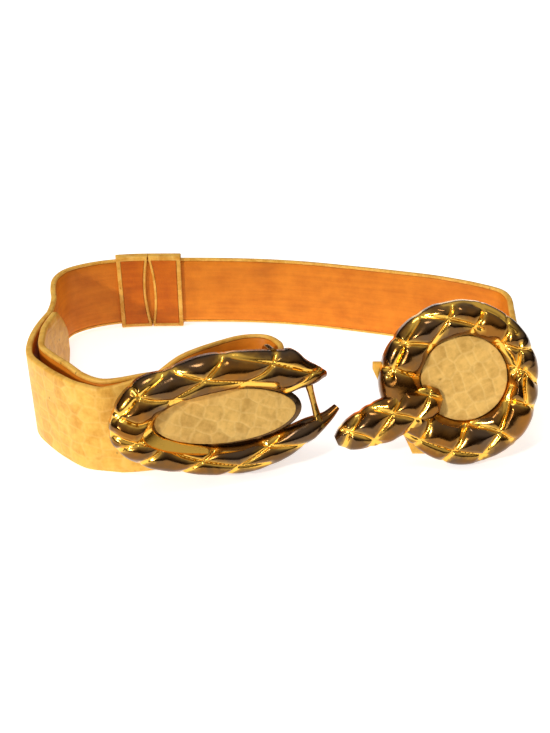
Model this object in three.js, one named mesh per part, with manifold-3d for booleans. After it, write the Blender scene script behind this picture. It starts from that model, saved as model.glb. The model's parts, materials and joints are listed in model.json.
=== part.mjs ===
// An adjustable snakeskin belt that stands on its edge as an open loop.
// Its two-part buckle of quilted serpent bodies is unhooked. Millimetres, +Z up.
import * as THREE from 'three';
import Module from 'manifold-3d';

const wasm = await Module();
wasm.setup();

// Driving dimensions, in millimetres
const CLEARANCE = 0.35;                 // gap that touching pieces keep
const CUT_OVERRUN = 3;                  // how far a cutting body runs past what it cuts
const POCKET_OVERRUN = 0.5;             // the same, where another layer lies close by
const LOOP_WIDTH = 229;                 // waist loop, left to right, to the middle of the strap
const LOOP_DEPTH = 152;                 // waist loop, front to back
const STRAP_HEIGHT = 38;
const SKIN_THICKNESS = 1.4;
const LINING_THICKNESS = 0.9;
const EDGE_BORDER = 1.3;                // skin turned over on to the lining side
const END_POINT = 11;                   // length of the free end's shallow point
const END_TIP = 3;                      // half height of its blunt tip
const END_SLANT = 17;                   // how far the top of the ring's end reaches past its foot
const FREE_END_LIFT = 1.2;              // the inner layer stands this much higher
const EDGE_FULLNESS = 0.62;             // below 1 the free end's edges are rounded out

const KEEPER_LENGTH = 35;
const KEEPER_WALL = 1.9;
const KEEPER_ROOM = 0.8;                // space between the strap and the sleeve
const KEEPER_BORDER = 2.2;              // skin border round the sleeve's lining panels
const KEEPER_PANEL = 0.9;               // thickness of the sleeve's lining panels
const KEEPER_SEAM = 0.8;                // width of the seam at its ends
const KEEPER_GAPE = 4.6;                // width of the seam where it gapes most
const KEEPER_PLACE = 0.424;             // middle of the sleeve, as a share of the outer strap

const BUCKLE_LENGTH = 92;
const BUCKLE_HEIGHT = 52;
const BUCKLE_DOME = 8;                  // height of the serpent body over its flat side
const BUCKLE_SIDE = 2.6;                // upright side below the dome
const BUCKLE_CELLS = 11;                // quilted diamonds along the body
const BUCKLE_RIM = 0.8;                 // back plate beyond the oval inset, at its two ends
const BUCKLE_LAP = 2.5;                 // back plate under the two arms
const BAR_DIAMETER = 3;                 // catch bar and rear strap bar
const BAR_CORNER = 1.8;                 // where the rear bar's corners begin
const BAR_SPARE = 0.4;                  // more room than the clearance at the strap's edges
const FOLD_DEPTH = 21;                  // how deep the strap's fold behind the buckle is
const FOLD_CENTRE = 0.475;              // middle of the folded strap, as a share of the buckle's height

const RING_DIAMETER = 65;
const RING_INSET = 34;                  // diameter of the round inset
const RING_DOME = 7.6;
const RING_SIDE = 2.2;
const RING_LAP = 3;                     // back plate under the coil
const RING_CELLS = 9;                   // quilted diamonds round the coil
const HEAD_LENGTH = 44;
const HEAD_WIDTH = 17;
const HEAD_DOME = 6.4;
const HEAD_SIDE = 2;
const HEAD_BASE = 4.6;                  // height of the head's underside over the ring's back
const HEAD_CELLS = 3;
const HOOK_DROP = 5.2;                  // how far the hook reaches behind the head's underside
const HOOK_ROOT = 2;                    // how far it is set into the head
const HOOK_BEND = 3.64;                 // drop at which it starts to turn
const HOOK_START = 0.88;                // its root, turn and tip, as shares of the head's length
const HOOK_TURN = 0.85;
const HOOK_TIP = 0.73;

const PLATE_THICKNESS = 2.4;            // back plate under an inset
const INSET_THICKNESS = 1.5;
const QUILT_DEPTH = 1.1;                // depth of the grooves between the diamonds
const GROOVE_PINCH = 0.5;               // share of a groove's depth that narrows the body
const GROOVE_SINK = 0.3;                // share of it that lowers the body's whole section
const DOME_FULLNESS = 0.8;              // below 1 the domes are fuller than an ellipse
const LEAST_WIDTH = 1;                  // of a body at its tips
const LEAST_HEIGHT = 0.1;               // the same, as a share of its full height

// Where each buckle stands: foot as shares of the loop, height of its frame over the ground in
// millimetres, turn, lean back and roll in degrees
const BUCKLE_POSE = { x: -0.121, y: -0.54, rise: 1.75, turn: 16, lean: 15, roll: -1 };
const RING_POSE = { x: 0.332, y: -0.458, rise: 0, turn: 0, lean: 15, roll: 0 };

const STRAP_THICKNESS = SKIN_THICKNESS + LINING_THICKNESS + CLEARANCE;
const UP = new THREE.Vector3(0, 0, 1);

// A buckle's own frame: along its length, up its face, and out of its face
function buckleFrame(pose) {
  const foot = new THREE.Vector3(pose.x * LOOP_WIDTH, pose.y * LOOP_DEPTH, pose.rise);
  const [turn, lean, roll] = [pose.turn, pose.lean, pose.roll].map(THREE.MathUtils.degToRad);
  const level = new THREE.Vector3(Math.cos(turn), Math.sin(turn), 0);
  const back = new THREE.Vector3(-Math.sin(turn), Math.cos(turn), 0);
  const rise = UP.clone().multiplyScalar(Math.cos(lean)).addScaledVector(back, Math.sin(lean));
  const along = level.clone().multiplyScalar(Math.cos(roll)).addScaledVector(rise, Math.sin(roll));
  const up = rise.clone().multiplyScalar(Math.cos(roll)).addScaledVector(level, -Math.sin(roll));
  const out = along.clone().cross(up);
  return { foot, along, up, out, back, lean };
}

function inFrame(frame, a, b, n) {
  return frame.foot.clone()
    .addScaledVector(frame.along, a)
    .addScaledVector(frame.up, b)
    .addScaledVector(frame.out, n);
}

// Middle of a strap behind a buckle: where it seats on the buckle's back, and level from there
function behindBuckle(frame, a, b, behind) {
  const seat = (STRAP_THICKNESS / 2 + CLEARANCE) / Math.cos(frame.lean);
  return inFrame(frame, a, b, 0).addScaledVector(frame.back, seat + behind);
}

const buckle = buckleFrame(BUCKLE_POSE);
const ring = buckleFrame(RING_POSE);

// Solids: a closed body from its points and triangles, turned so that its faces point out
function closedBody(points, triangles) {
  let volume = 0;
  for (const [i, j, k] of triangles) {
    volume += points[i].dot(points[j].clone().cross(points[k]));
  }
  const faces = volume < 0 ? triangles.map(([i, j, k]) => [i, k, j]) : triangles;
  const vertProperties = new Float32Array(points.flatMap((p) => [p.x, p.y, p.z]));
  const triVerts = new Uint32Array(faces.flat());
  return new wasm.Manifold(new wasm.Mesh({ numProp: 3, vertProperties, triVerts }));
}

// The main body, without the slivers that a cut leaves where two twisted faces nearly agree
function mainBody(solid) {
  return solid.decompose().sort((p, q) => q.volume() - p.volume())[0];
}

// A closed sheet over a grid; place(i, j) gives the points of its two faces
function gridBody(columns, rows, place) {
  const points = [];
  const triangles = [];
  const at = (i, j, side) => 2 * (i * (rows + 1) + j) + side;
  const quad = (a, b, c, d) => triangles.push([a, b, c], [a, c, d]);
  for (let i = 0; i <= columns; i += 1) {
    for (let j = 0; j <= rows; j += 1) {
      points.push(...place(i, j));
    }
  }
  for (let i = 0; i < columns; i += 1) {
    for (let j = 0; j < rows; j += 1) {
      quad(at(i, j, 1), at(i + 1, j, 1), at(i + 1, j + 1, 1), at(i, j + 1, 1));
      quad(at(i, j, 0), at(i, j + 1, 0), at(i + 1, j + 1, 0), at(i + 1, j, 0));
    }
    quad(at(i, 0, 0), at(i + 1, 0, 0), at(i + 1, 0, 1), at(i, 0, 1));
    quad(at(i, rows, 1), at(i + 1, rows, 1), at(i + 1, rows, 0), at(i, rows, 0));
  }
  for (let j = 0; j < rows; j += 1) {
    quad(at(0, j, 1), at(0, j + 1, 1), at(0, j + 1, 0), at(0, j, 0));
    quad(at(columns, j, 0), at(columns, j + 1, 0), at(columns, j + 1, 1), at(columns, j, 1));
  }
  return closedBody(points, triangles);
}

// A prism over a closed outline in a buckle's frame, between two depths
function prism(frame, outline, low, high) {
  const points = [];
  const triangles = [];
  const count = outline.length;
  const shape = outline.map(([a, b]) => new THREE.Vector2(a, b));
  for (const [a, b] of outline) {
    points.push(inFrame(frame, a, b, low), inFrame(frame, a, b, high));
  }
  for (const [i, j, k] of THREE.ShapeUtils.triangulateShape(shape, [])) {
    triangles.push([2 * i, 2 * k, 2 * j], [2 * i + 1, 2 * j + 1, 2 * k + 1]);
  }
  for (let i = 0; i < count; i += 1) {
    const next = (i + 1) % count;
    triangles.push([2 * i, 2 * next, 2 * next + 1], [2 * i, 2 * next + 1, 2 * i + 1]);
  }
  return closedBody(points, triangles);
}

function ellipse(centre, halfLength, halfHeight, sides) {
  return Array.from({ length: sides }, (_, k) => {
    const angle = (2 * Math.PI * k) / sides;
    return [centre.a + halfLength * Math.cos(angle), centre.b + halfHeight * Math.sin(angle)];
  });
}

// A round bar through points of a buckle's frame
function roundBar(frame, route, diameter) {
  const SIDES = 10;
  const RINGS = 3 * route.length;
  const places = route.map(([a, b, n]) => inFrame(frame, a, b, n));
  const curve = new THREE.CatmullRomCurve3(places, false, 'chordal');
  const shape = new THREE.Shape();
  shape.absarc(0, 0, diameter / 2, 0, 2 * Math.PI);
  const geometry = new THREE.ExtrudeGeometry(shape, {
    steps: RINGS, curveSegments: SIDES / 2, extrudePath: curve,
  });
  return fromGeometry(geometry);
}

function fromGeometry(geometry) {
  const position = geometry.getAttribute('position');
  const keys = new Map();
  const points = [];
  const corner = [];
  for (let k = 0; k < position.count; k += 1) {
    const point = new THREE.Vector3().fromBufferAttribute(position, k);
    const key = point.toArray().map((v) => v.toFixed(4)).join(' ');
    if (!keys.has(key)) {
      keys.set(key, points.length);
      points.push(point);
    }
    corner.push(keys.get(key));
  }
  const triangles = [];
  for (let k = 0; k < corner.length; k += 3) {
    const [a, b, c] = corner.slice(k, k + 3);
    if (a !== b && b !== c && c !== a) triangles.push([a, b, c]);
  }
  return closedBody(points, triangles);
}

// The strap's route

// The fold behind the long buckle, in its frame: place along it as a share of its length,
// and distance from the seat on its back as a share of the fold's depth
const FOLD_ROWS = [
  { along: 0.02, behind: 0.54 },
  { along: 0.16, behind: 0.76 },
  { along: 0.27, behind: 0.86 },
  { along: 0.345, behind: 0.79 },
  { along: 0.382, behind: 0.55 },
  { along: 0.388, behind: 0.34 },
  { along: 0.375, behind: 0.17 },
  { along: 0.34, behind: 0.06 },
  { along: 0.27, behind: 0.02 },
];
const FRONT_ROWS = [
  { along: 0.16, behind: 0.035 },
  { along: 0.0, behind: 0.09 },
  { along: -0.13, behind: 0.19 },
];

// Round the waist from the front left, clockwise from above: place as shares of the loop, lean
// of the top inwards in degrees, and lift as a share of what the sleeve reaches below the strap
const LOOP_ROWS = [
  { x: -0.272, y: -0.488, lean: 0, lift: 0 },
  { x: -0.326, y: -0.476, lean: 0, lift: 0 },
  { x: -0.366, y: -0.438, lean: 0, lift: 0 },
  { x: -0.409, y: -0.372, lean: 0, lift: 0 },
  { x: -0.441, y: -0.307, lean: 0, lift: 0 },
  { x: -0.457, y: -0.216, lean: 0, lift: 0 },
  { x: -0.462, y: -0.108, lean: 0, lift: 0 },
  { x: -0.458, y: -0.007, lean: 0, lift: 0 },
  { x: -0.469, y: 0.113, lean: 1, lift: 0 },
  { x: -0.487, y: 0.214, lean: 1, lift: 0.1 },
  { x: -0.495, y: 0.296, lean: 1, lift: 0.3 },
  { x: -0.483, y: 0.37, lean: 2, lift: 0.6 },
  { x: -0.438, y: 0.434, lean: 3, lift: 0.9 },
  { x: -0.365, y: 0.478, lean: 3, lift: 1 },
  { x: -0.221, y: 0.494, lean: 3, lift: 1 },
  { x: -0.06, y: 0.499, lean: 3, lift: 0.6 },
  { x: 0.059, y: 0.471, lean: 3, lift: 0.3 },
  { x: 0.175, y: 0.428, lean: 3, lift: 0.1 },
  { x: 0.287, y: 0.374, lean: 3, lift: 0 },
  { x: 0.372, y: 0.322, lean: 2, lift: 0 },
  { x: 0.451, y: 0.249, lean: 2, lift: 0 },
  { x: 0.491, y: 0.188, lean: 1, lift: 0 },
  { x: 0.496, y: 0.129, lean: 0, lift: 0 },
  { x: 0.482, y: 0.019, lean: -1, lift: 0 },
  { x: 0.465, y: -0.097, lean: -3, lift: 0 },
];

// Behind the ring, in its frame: place along it and distance from the seat on its back, in
// shares of its diameter
const RING_ROWS = [
  { along: 0.425, behind: 0.34 },
  { along: 0.33, behind: 0.11 },
  { along: 0.19, behind: 0.02 },
  { along: 0, behind: 0 },
  { along: -0.3, behind: 0 },
  { along: -0.57, behind: 0 },
];
const RING_STRAP_CENTRE = 0.337;        // strap's middle, as a share of the ring's diameter

// The inner layer runs back inside the front layer: place beside a row of the outer route,
// and the space between the two layers
const INNER_ROWS = [
  { beside: 10.4, space: 2.6 },
  { beside: 9.5, space: 1.5 },
  { beside: 8.5, space: 1.7 },
  { beside: 7.4, space: 2.8 },
  { beside: 6.4, space: 4.2 },
  { beside: 5.4, space: 4.4 },
  { beside: 4.5, space: 2.8 },
  { beside: 3.4, space: 2.1 },
  { beside: 2.4, space: 1.9 },
  { beside: 1.7, space: 3.6 },
];

function loopRow({ x, y, lean, lift }) {
  const level = new THREE.Vector3(x * LOOP_WIDTH, y * LOOP_DEPTH, 0);
  const inwards = level.clone().negate().normalize();
  const angle = THREE.MathUtils.degToRad(lean);
  const up = UP.clone().multiplyScalar(Math.cos(angle)).addScaledVector(inwards, Math.sin(angle));
  const foot = lift * (KEEPER_ROOM + KEEPER_WALL) + (STRAP_THICKNESS / 2) * Math.abs(Math.sin(angle));
  const middle = level.setZ(foot + (STRAP_HEIGHT / 2) * Math.cos(angle));
  return { middle, up };
}

function foldRow({ along, behind }) {
  const [a, b] = [along * BUCKLE_LENGTH, FOLD_CENTRE * BUCKLE_HEIGHT];
  return { middle: behindBuckle(buckle, a, b, behind * FOLD_DEPTH), up: buckle.up.clone() };
}

function ringRow({ along, behind }) {
  const centre = RING_STRAP_CENTRE * RING_DIAMETER;
  const middle = behindBuckle(ring, along * RING_DIAMETER, centre, behind * RING_DIAMETER);
  return { middle, up: ring.up.clone() };
}

// A route through rows of middles and up directions, read at t from 0 to 1
function routeThrough(rows) {
  const middles = new THREE.CatmullRomCurve3(rows.map((row) => row.middle), false, 'centripetal');
  const ups = new THREE.CatmullRomCurve3(rows.map((row) => row.up), false, 'centripetal');
  const STEP = 1e-4;
  return (t) => {
    const middle = middles.getPoint(t);
    const ahead = middles.getPoint(Math.min(t + STEP, 1));
    const travel = ahead.sub(middles.getPoint(Math.max(t - STEP, 0))).normalize();
    const up = ups.getPoint(t);
    up.addScaledVector(travel, -up.dot(travel)).normalize();
    const out = up.clone().cross(travel).normalize();
    return { middle, travel, up, out };
  };
}

// Stations along a route, closer where it bends
function stationsAlong(route, longest, sharpest) {
  const SAMPLES = 4000;
  const stations = [];
  let length = 0;
  let sinceLast = 0;
  let previous = route(0);
  for (let k = 0; k <= SAMPLES; k += 1) {
    const here = route(k / SAMPLES);
    const step = here.middle.distanceTo(previous.middle);
    length += step;
    sinceLast += step;
    previous = here;
    const last = stations.at(-1);
    const bend = last ? last.travel.angleTo(here.travel) : 0;
    const due = !last || sinceLast > longest || (bend > sharpest && sinceLast > 1);
    if (due || k === SAMPLES) {
      stations.push({ ...here, length, t: k / SAMPLES });
      sinceLast = 0;
    }
  }
  return stations;
}

const outerRows = [...FRONT_ROWS.map(foldRow), ...LOOP_ROWS.map(loopRow), ...RING_ROWS.map(ringRow)];
const outerRoute = routeThrough(outerRows);

function innerRow({ beside, space }) {
  const { middle, up, out } = outerRoute(beside / (outerRows.length - 1));
  const layer = STRAP_THICKNESS + space;
  return { middle: middle.addScaledVector(out, -layer).addScaledVector(up, FREE_END_LIFT), up };
}

const strapRows = [...INNER_ROWS.map(innerRow), ...FOLD_ROWS.map(foldRow), ...outerRows];
const strapRoute = routeThrough(strapRows);
const LONGEST_STEP = 7;
const SHARPEST_BEND = THREE.MathUtils.degToRad(8);
const strapStations = endsRefined(stationsAlong(strapRoute, LONGEST_STEP, SHARPEST_BEND));
const strapLength = strapStations.at(-1).length;

// More stations over the two shaped ends
function endsRefined(stations) {
  const total = stations.at(-1).length;
  const inEnd = ({ length }) => length < END_POINT || total - length < END_SLANT;
  const STEPS = 5;
  const fine = stationsAlong(strapRoute, END_POINT / STEPS, Math.PI).filter(inEnd);
  const rest = stations.filter((station) => !inEnd(station));
  return [...fine, ...rest].sort((p, q) => p.length - q.length);
}

// Lower and upper edge of the strap at a station: a shallow point at the free end,
// and a slant behind the ring
function strapEdges({ length }, inset) {
  const half = STRAP_HEIGHT / 2 - inset;
  const pointShare = THREE.MathUtils.clamp((length - inset) / END_POINT, 0, 1);
  const slantShare = THREE.MathUtils.clamp((strapLength - length - inset) / END_SLANT, 0, 1);
  const pointed = END_TIP + (half - END_TIP) * pointShare ** EDGE_FULLNESS;
  const foot = half - END_TIP - (2 * half - END_TIP) * slantShare;
  return [Math.max(-pointed, foot), pointed];
}

// A strap-like body: keeps the stations that lie further than inset from both ends
function strapBody(inset, inner, outer) {
  const stations = strapStations.filter(({ length }) => Math.min(length, strapLength - length) >= inset);
  return gridBody(stations.length - 1, 1, (i, j) => {
    const station = stations[i];
    const edge = station.middle.clone().addScaledVector(station.up, strapEdges(station, inset)[j]);
    return [edge.clone().addScaledVector(station.out, inner), edge.clone().addScaledVector(station.out, outer)];
  });
}

const LINING_SIDE = -STRAP_THICKNESS / 2;
const SKIN_SIDE = STRAP_THICKNESS / 2;

function strapSkin() {
  const whole = strapBody(0, LINING_SIDE, SKIN_SIDE);
  const pocket = strapBody(EDGE_BORDER, LINING_SIDE - POCKET_OVERRUN, SKIN_SIDE - SKIN_THICKNESS);
  return mainBody(whole.subtract(pocket));
}

function strapLining() {
  return strapBody(EDGE_BORDER + CLEARANCE, LINING_SIDE, LINING_SIDE + LINING_THICKNESS);
}

// The sleeve at the back, laid out along the outer route

const outerStations = stationsAlong(outerRoute, 1, Math.PI);
const keeperMiddle = KEEPER_PLACE * outerStations.at(-1).length;

// A point of the sleeve: along the strap from its middle, up from the strap's middle, out of it
function keeperPoint(along, up, out) {
  const length = keeperMiddle + along;
  const next = outerStations.findIndex((station) => station.length > length);
  const [before, after] = [outerStations[next - 1], outerStations[next]];
  const share = (length - before.length) / (after.length - before.length);
  const between = (key) => before[key].clone().lerp(after[key], share);
  return between('middle').addScaledVector(between('up'), up).addScaledVector(between('out'), out);
}

const KEEPER_STEPS = 6;

function keeperBox(halfLength, halfHeight, inner, outer) {
  return gridBody(KEEPER_STEPS, 1, (i, j) => {
    const along = ((2 * i) / KEEPER_STEPS - 1) * halfLength;
    const up = (2 * j - 1) * halfHeight;
    return [keeperPoint(along, up, inner), keeperPoint(along, up, outer)];
  });
}

const keeperInside = {
  height: STRAP_HEIGHT / 2 + KEEPER_ROOM,
  depth: STRAP_THICKNESS / 2 + KEEPER_ROOM,
};
const keeperOutside = {
  height: keeperInside.height + KEEPER_WALL,
  depth: keeperInside.depth + KEEPER_WALL,
};
const panelHeight = keeperOutside.height - KEEPER_BORDER;

// Half the width of the gaping seam at a height of the panel
function seamHalf(up) {
  const share = THREE.MathUtils.clamp(Math.abs(up) / panelHeight, 0, 1);
  return (KEEPER_SEAM + (KEEPER_GAPE - KEEPER_SEAM) * (1 - share ** 2)) / 2;
}

// One panel beside the seam, or its pocket; side is -1 or 1
function keeperPanel(side, grow, inner, outer) {
  const LEVELS = 10;
  const top = panelHeight + grow;
  const far = KEEPER_LENGTH / 2 - KEEPER_BORDER + grow;
  return gridBody(KEEPER_STEPS / 2, LEVELS, (i, j) => {
    const up = -top + (2 * top * j) / LEVELS;
    const near = seamHalf(up) + EDGE_BORDER - grow;
    const along = side * (near + ((far - near) * 2 * i) / KEEPER_STEPS);
    return [keeperPoint(along, up, inner), keeperPoint(along, up, outer)];
  });
}

function keeperSeam() {
  const LEVELS = 10;
  const top = panelHeight;
  return gridBody(1, LEVELS, (i, j) => {
    const up = -top + (2 * top * j) / LEVELS;
    const along = (2 * i - 1) * seamHalf(up);
    return [
      keeperPoint(along, up, -keeperOutside.depth - CUT_OVERRUN),
      keeperPoint(along, up, -keeperInside.depth + KEEPER_ROOM / 2),
    ];
  });
}

function keeperSkin() {
  const { height, depth } = keeperOutside;
  const outside = keeperBox(KEEPER_LENGTH / 2, height, -depth, depth);
  const within = keeperInside.depth;
  const room = keeperBox(KEEPER_LENGTH / 2 + CUT_OVERRUN, keeperInside.height, -within, within);
  const floor = -depth + KEEPER_PANEL + CLEARANCE;
  const [left, right] = [1, -1].map((side) => keeperPanel(side, CLEARANCE, -depth - CUT_OVERRUN, floor));
  return outside.subtract(room).subtract(left).subtract(right).subtract(keeperSeam());
}

function keeperLining(side) {
  return keeperPanel(side, 0, -keeperOutside.depth, -keeperOutside.depth + KEEPER_PANEL);
}

// Serpent bodies

// A quilted body of half-round section along a flat route; each row gives the middle of the
// section, its width and its height as shares of full; closed routes join end to start
function serpent(frame, rows, { closed, pitches, dome, side, base }) {
  const PER_CELL = 4;
  const ACROSS = 8;
  const places = rows.map(({ a, b }) => new THREE.Vector3(a, b, 0));
  const route = new THREE.CatmullRomCurve3(places, closed, 'centripetal');
  const sections = rows.map(({ width, height }) => new THREE.Vector3(width, height, 0));
  const sizes = new THREE.CatmullRomCurve3(sections, closed, 'centripetal');
  route.arcLengthDivisions = 400;
  const count = pitches * PER_CELL;
  const points = [];
  for (let i = 0; i < (closed ? count : count + 1); i += 1) {
    const t = route.getUtoTmapping(i / count);
    const middle = route.getPoint(t);
    const travel = route.getTangent(t);
    const size = sizes.getPoint(t);
    const across = new THREE.Vector3(-travel.y, travel.x, 0);
    const place = (offset, n) => inFrame(frame, middle.x + across.x * offset, middle.y + across.y * offset, n);
    const half = Math.max(size.x, LEAST_WIDTH) / 2;
    const rise = Math.max(size.y, LEAST_HEIGHT);
    points.push(place(-half, base));
    for (let k = 0; k <= ACROSS; k += 1) {
      const angle = (Math.PI * k) / ACROSS;
      const groove = QUILT_DEPTH * rise * (1 - quilt(i / PER_CELL, (2 * k) / ACROSS));
      const reach = 1 - groove / (dome + side);
      const offset = -Math.cos(angle) * (half - GROOVE_PINCH * groove);
      const height = rise * (side + dome * Math.sin(angle) ** DOME_FULLNESS * reach);
      points.push(place(offset, base + height - GROOVE_SINK * groove));
    }
    points.push(place(half, base));
  }
  return sweptBody(points, ACROSS + 3, closed);
}

// How far a place of a quilted body stands out of the grooves, from 0 in a groove to 1;
// the grooves are the lines on which along plus or minus across is a whole number
function quilt(along, across) {
  const fromLine = (v) => 2 * Math.abs(v - Math.round(v));
  const nearest = Math.min(fromLine(along + across), fromLine(along - across));
  return 1 - (1 - nearest) ** 2;
}

// A body swept through sections of equal size
function sweptBody(points, size, closed) {
  const count = points.length / size;
  const triangles = [];
  const at = (i, k) => (i % count) * size + (k % size);
  for (let i = 0; i < (closed ? count : count - 1); i += 1) {
    for (let k = 0; k < size; k += 1) {
      triangles.push([at(i, k), at(i + 1, k), at(i + 1, k + 1)]);
      triangles.push([at(i, k), at(i + 1, k + 1), at(i, k + 1)]);
    }
  }
  if (!closed) {
    for (let k = 1; k < size - 1; k += 1) {
      triangles.push([at(0, 0), at(0, k), at(0, k + 1)]);
      triangles.push([at(count - 1, 0), at(count - 1, k + 1), at(count - 1, k)]);
    }
  }
  return closedBody(points, triangles);
}

// The long buckle: rows from the snout of the upper arm round the left bend to the leaf tip,
// with place and width as shares of the buckle's length and height
const BUCKLE_ROWS = [
  { a: 0.574, b: 0.69, width: 0.05, height: 0.25 },
  { a: 0.541, b: 0.715, width: 0.17, height: 0.62 },
  { a: 0.47, b: 0.755, width: 0.26, height: 0.85 },
  { a: 0.36, b: 0.795, width: 0.318, height: 1 },
  { a: 0.217, b: 0.823, width: 0.333, height: 1 },
  { a: 0.06, b: 0.822, width: 0.325, height: 1 },
  { a: -0.107, b: 0.748, width: 0.31, height: 1 },
  { a: -0.218, b: 0.656, width: 0.31, height: 1 },
  { a: -0.29, b: 0.454, width: 0.325, height: 1 },
  { a: -0.242, b: 0.272, width: 0.3, height: 0.97 },
  { a: -0.103, b: 0.162, width: 0.262, height: 0.92 },
  { a: 0.065, b: 0.106, width: 0.245, height: 0.88 },
  { a: 0.217, b: 0.1, width: 0.25, height: 0.85 },
  { a: 0.354, b: 0.148, width: 0.233, height: 0.8 },
  { a: 0.472, b: 0.235, width: 0.2, height: 0.65 },
  { a: 0.565, b: 0.31, width: 0.12, height: 0.42 },
  { a: 0.63, b: 0.4, width: 0.045, height: 0.25 },
];
const OVAL = { a: 0.128, b: 0.441, halfLength: 0.325, halfHeight: 0.221 };
const CATCH_TOP = { a: 0.515, b: 0.66 };
const CATCH_FOOT = { a: 0.563, b: 0.27 };
const STRAP_BAR = { a: 0.327, behind: 0.4 };

function ovalOutline(growLength, growHeight = growLength) {
  const centre = { a: OVAL.a * BUCKLE_LENGTH, b: OVAL.b * BUCKLE_HEIGHT };
  const SIDES = 48;
  const halfLength = OVAL.halfLength * BUCKLE_LENGTH + growLength;
  return ellipse(centre, halfLength, OVAL.halfHeight * BUCKLE_HEIGHT + growHeight, SIDES);
}

function scaledRows(rows, length, height) {
  return rows.map((row) => ({
    a: row.a * length, b: row.b * height, width: row.width * height, height: row.height,
  }));
}

// The bar behind the buckle that the strap folds round, with its two arms
function strapBar() {
  const a = STRAP_BAR.a * BUCKLE_LENGTH;
  const n = -STRAP_BAR.behind * FOLD_DEPTH;
  const middle = FOLD_CENTRE * BUCKLE_HEIGHT;
  const reach = STRAP_HEIGHT / 2 + CLEARANCE + BAR_SPARE + BAR_DIAMETER / 2;
  return roundBar(buckle, [
    [a, middle - reach, BUCKLE_SIDE],
    [a, middle - reach, n + BAR_CORNER],
    [a, middle - reach + BAR_CORNER, n],
    [a, middle, n],
    [a, middle + reach - BAR_CORNER, n],
    [a, middle + reach, n + BAR_CORNER],
    [a, middle + reach, BUCKLE_SIDE],
  ], BAR_DIAMETER);
}

function buckleBody() {
  const rows = scaledRows(BUCKLE_ROWS, BUCKLE_LENGTH, BUCKLE_HEIGHT);
  const body = serpent(buckle, rows, {
    closed: false, pitches: BUCKLE_CELLS, dome: BUCKLE_DOME, side: BUCKLE_SIDE, base: 0,
  });
  const plate = prism(buckle, ovalOutline(BUCKLE_RIM, BUCKLE_LAP), 0, PLATE_THICKNESS);
  const room = prism(buckle, ovalOutline(CLEARANCE), PLATE_THICKNESS, BUCKLE_DOME + BUCKLE_SIDE + CUT_OVERRUN);
  const catchBar = roundBar(buckle, [
    [CATCH_TOP.a * BUCKLE_LENGTH, CATCH_TOP.b * BUCKLE_HEIGHT, BAR_DIAMETER],
    [CATCH_FOOT.a * BUCKLE_LENGTH, CATCH_FOOT.b * BUCKLE_HEIGHT, BAR_DIAMETER],
  ], BAR_DIAMETER);
  return body.add(plate).subtract(room).add(catchBar).add(strapBar());
}

function insetPlate(frame, outline) {
  const low = PLATE_THICKNESS + CLEARANCE;
  return prism(frame, outline, low, low + INSET_THICKNESS);
}

// The round buckle: width of the coil round the inset, by angle from the right
const RING_CENTRE = { a: -0.025, b: 0.549 };
const RING_WIDTHS = [
  { angle: 0, width: 0.19 },
  { angle: 45, width: 0.194 },
  { angle: 90, width: 0.22 },
  { angle: 135, width: 0.232 },
  { angle: 180, width: 0.254 },
  { angle: 225, width: 0.25 },
  { angle: 270, width: 0.285 },
  { angle: 315, width: 0.254 },
];

function ringRows() {
  return RING_WIDTHS.map(({ angle, width }) => {
    const radius = RING_INSET / 2 + (width * RING_DIAMETER) / 2;
    const turn = THREE.MathUtils.degToRad(angle);
    return {
      a: RING_CENTRE.a * RING_DIAMETER + radius * Math.cos(turn),
      b: RING_CENTRE.b * RING_DIAMETER + radius * Math.sin(turn),
      width: width * RING_DIAMETER,
      height: 1,
    };
  });
}

// The head lies across the coil: from its neck at the inset to its snout, as shares of its
// length along its axis and of its width
const HEAD_NECK = { a: -0.18, b: 0.45 };
const HEAD_SLOPE = THREE.MathUtils.degToRad(205);
const HEAD_ROWS = [
  { along: -0.02, width: 0.3, height: 0.3 },
  { along: 0.06, width: 0.72, height: 0.8 },
  { along: 0.25, width: 0.98, height: 1 },
  { along: 0.5, width: 1, height: 1 },
  { along: 0.75, width: 0.9, height: 0.95 },
  { along: 0.92, width: 0.62, height: 0.75 },
  { along: 1, width: 0.25, height: 0.35 },
];

function onHead(along) {
  return [
    HEAD_NECK.a * RING_DIAMETER + along * HEAD_LENGTH * Math.cos(HEAD_SLOPE),
    HEAD_NECK.b * RING_DIAMETER + along * HEAD_LENGTH * Math.sin(HEAD_SLOPE),
  ];
}

function headBody() {
  const rows = HEAD_ROWS.map(({ along, width, height }) => {
    const [a, b] = onHead(along);
    return { a, b, width: width * HEAD_WIDTH, height };
  });
  return serpent(ring, rows, {
    closed: false, pitches: HEAD_CELLS, dome: HEAD_DOME, side: HEAD_SIDE, base: HEAD_BASE,
  });
}

// The plain hook under the head, which goes behind the catch bar
function headHook() {
  return roundBar(ring, [
    [...onHead(HOOK_START), HEAD_BASE + HOOK_ROOT],
    [...onHead(HOOK_START), HEAD_BASE - HOOK_BEND],
    [...onHead(HOOK_TURN), HEAD_BASE - HOOK_DROP],
    [...onHead(HOOK_TIP), HEAD_BASE - HOOK_DROP],
  ], BAR_DIAMETER);
}

function ringOutline(grow) {
  const centre = { a: RING_CENTRE.a * RING_DIAMETER, b: RING_CENTRE.b * RING_DIAMETER };
  const SIDES = 40;
  return ellipse(centre, RING_INSET / 2 + grow, RING_INSET / 2 + grow, SIDES);
}

function ringBody() {
  const coil = serpent(ring, ringRows(), {
    closed: true, pitches: RING_CELLS, dome: RING_DOME, side: RING_SIDE, base: 0,
  });
  const plate = prism(ring, ringOutline(RING_LAP), 0, PLATE_THICKNESS);
  const insetTop = PLATE_THICKNESS + CLEARANCE + INSET_THICKNESS;
  const room = prism(ring, ringOutline(CLEARANCE), PLATE_THICKNESS, insetTop + CLEARANCE);
  return coil.add(plate).add(headBody()).subtract(room).add(headHook());
}

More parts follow.
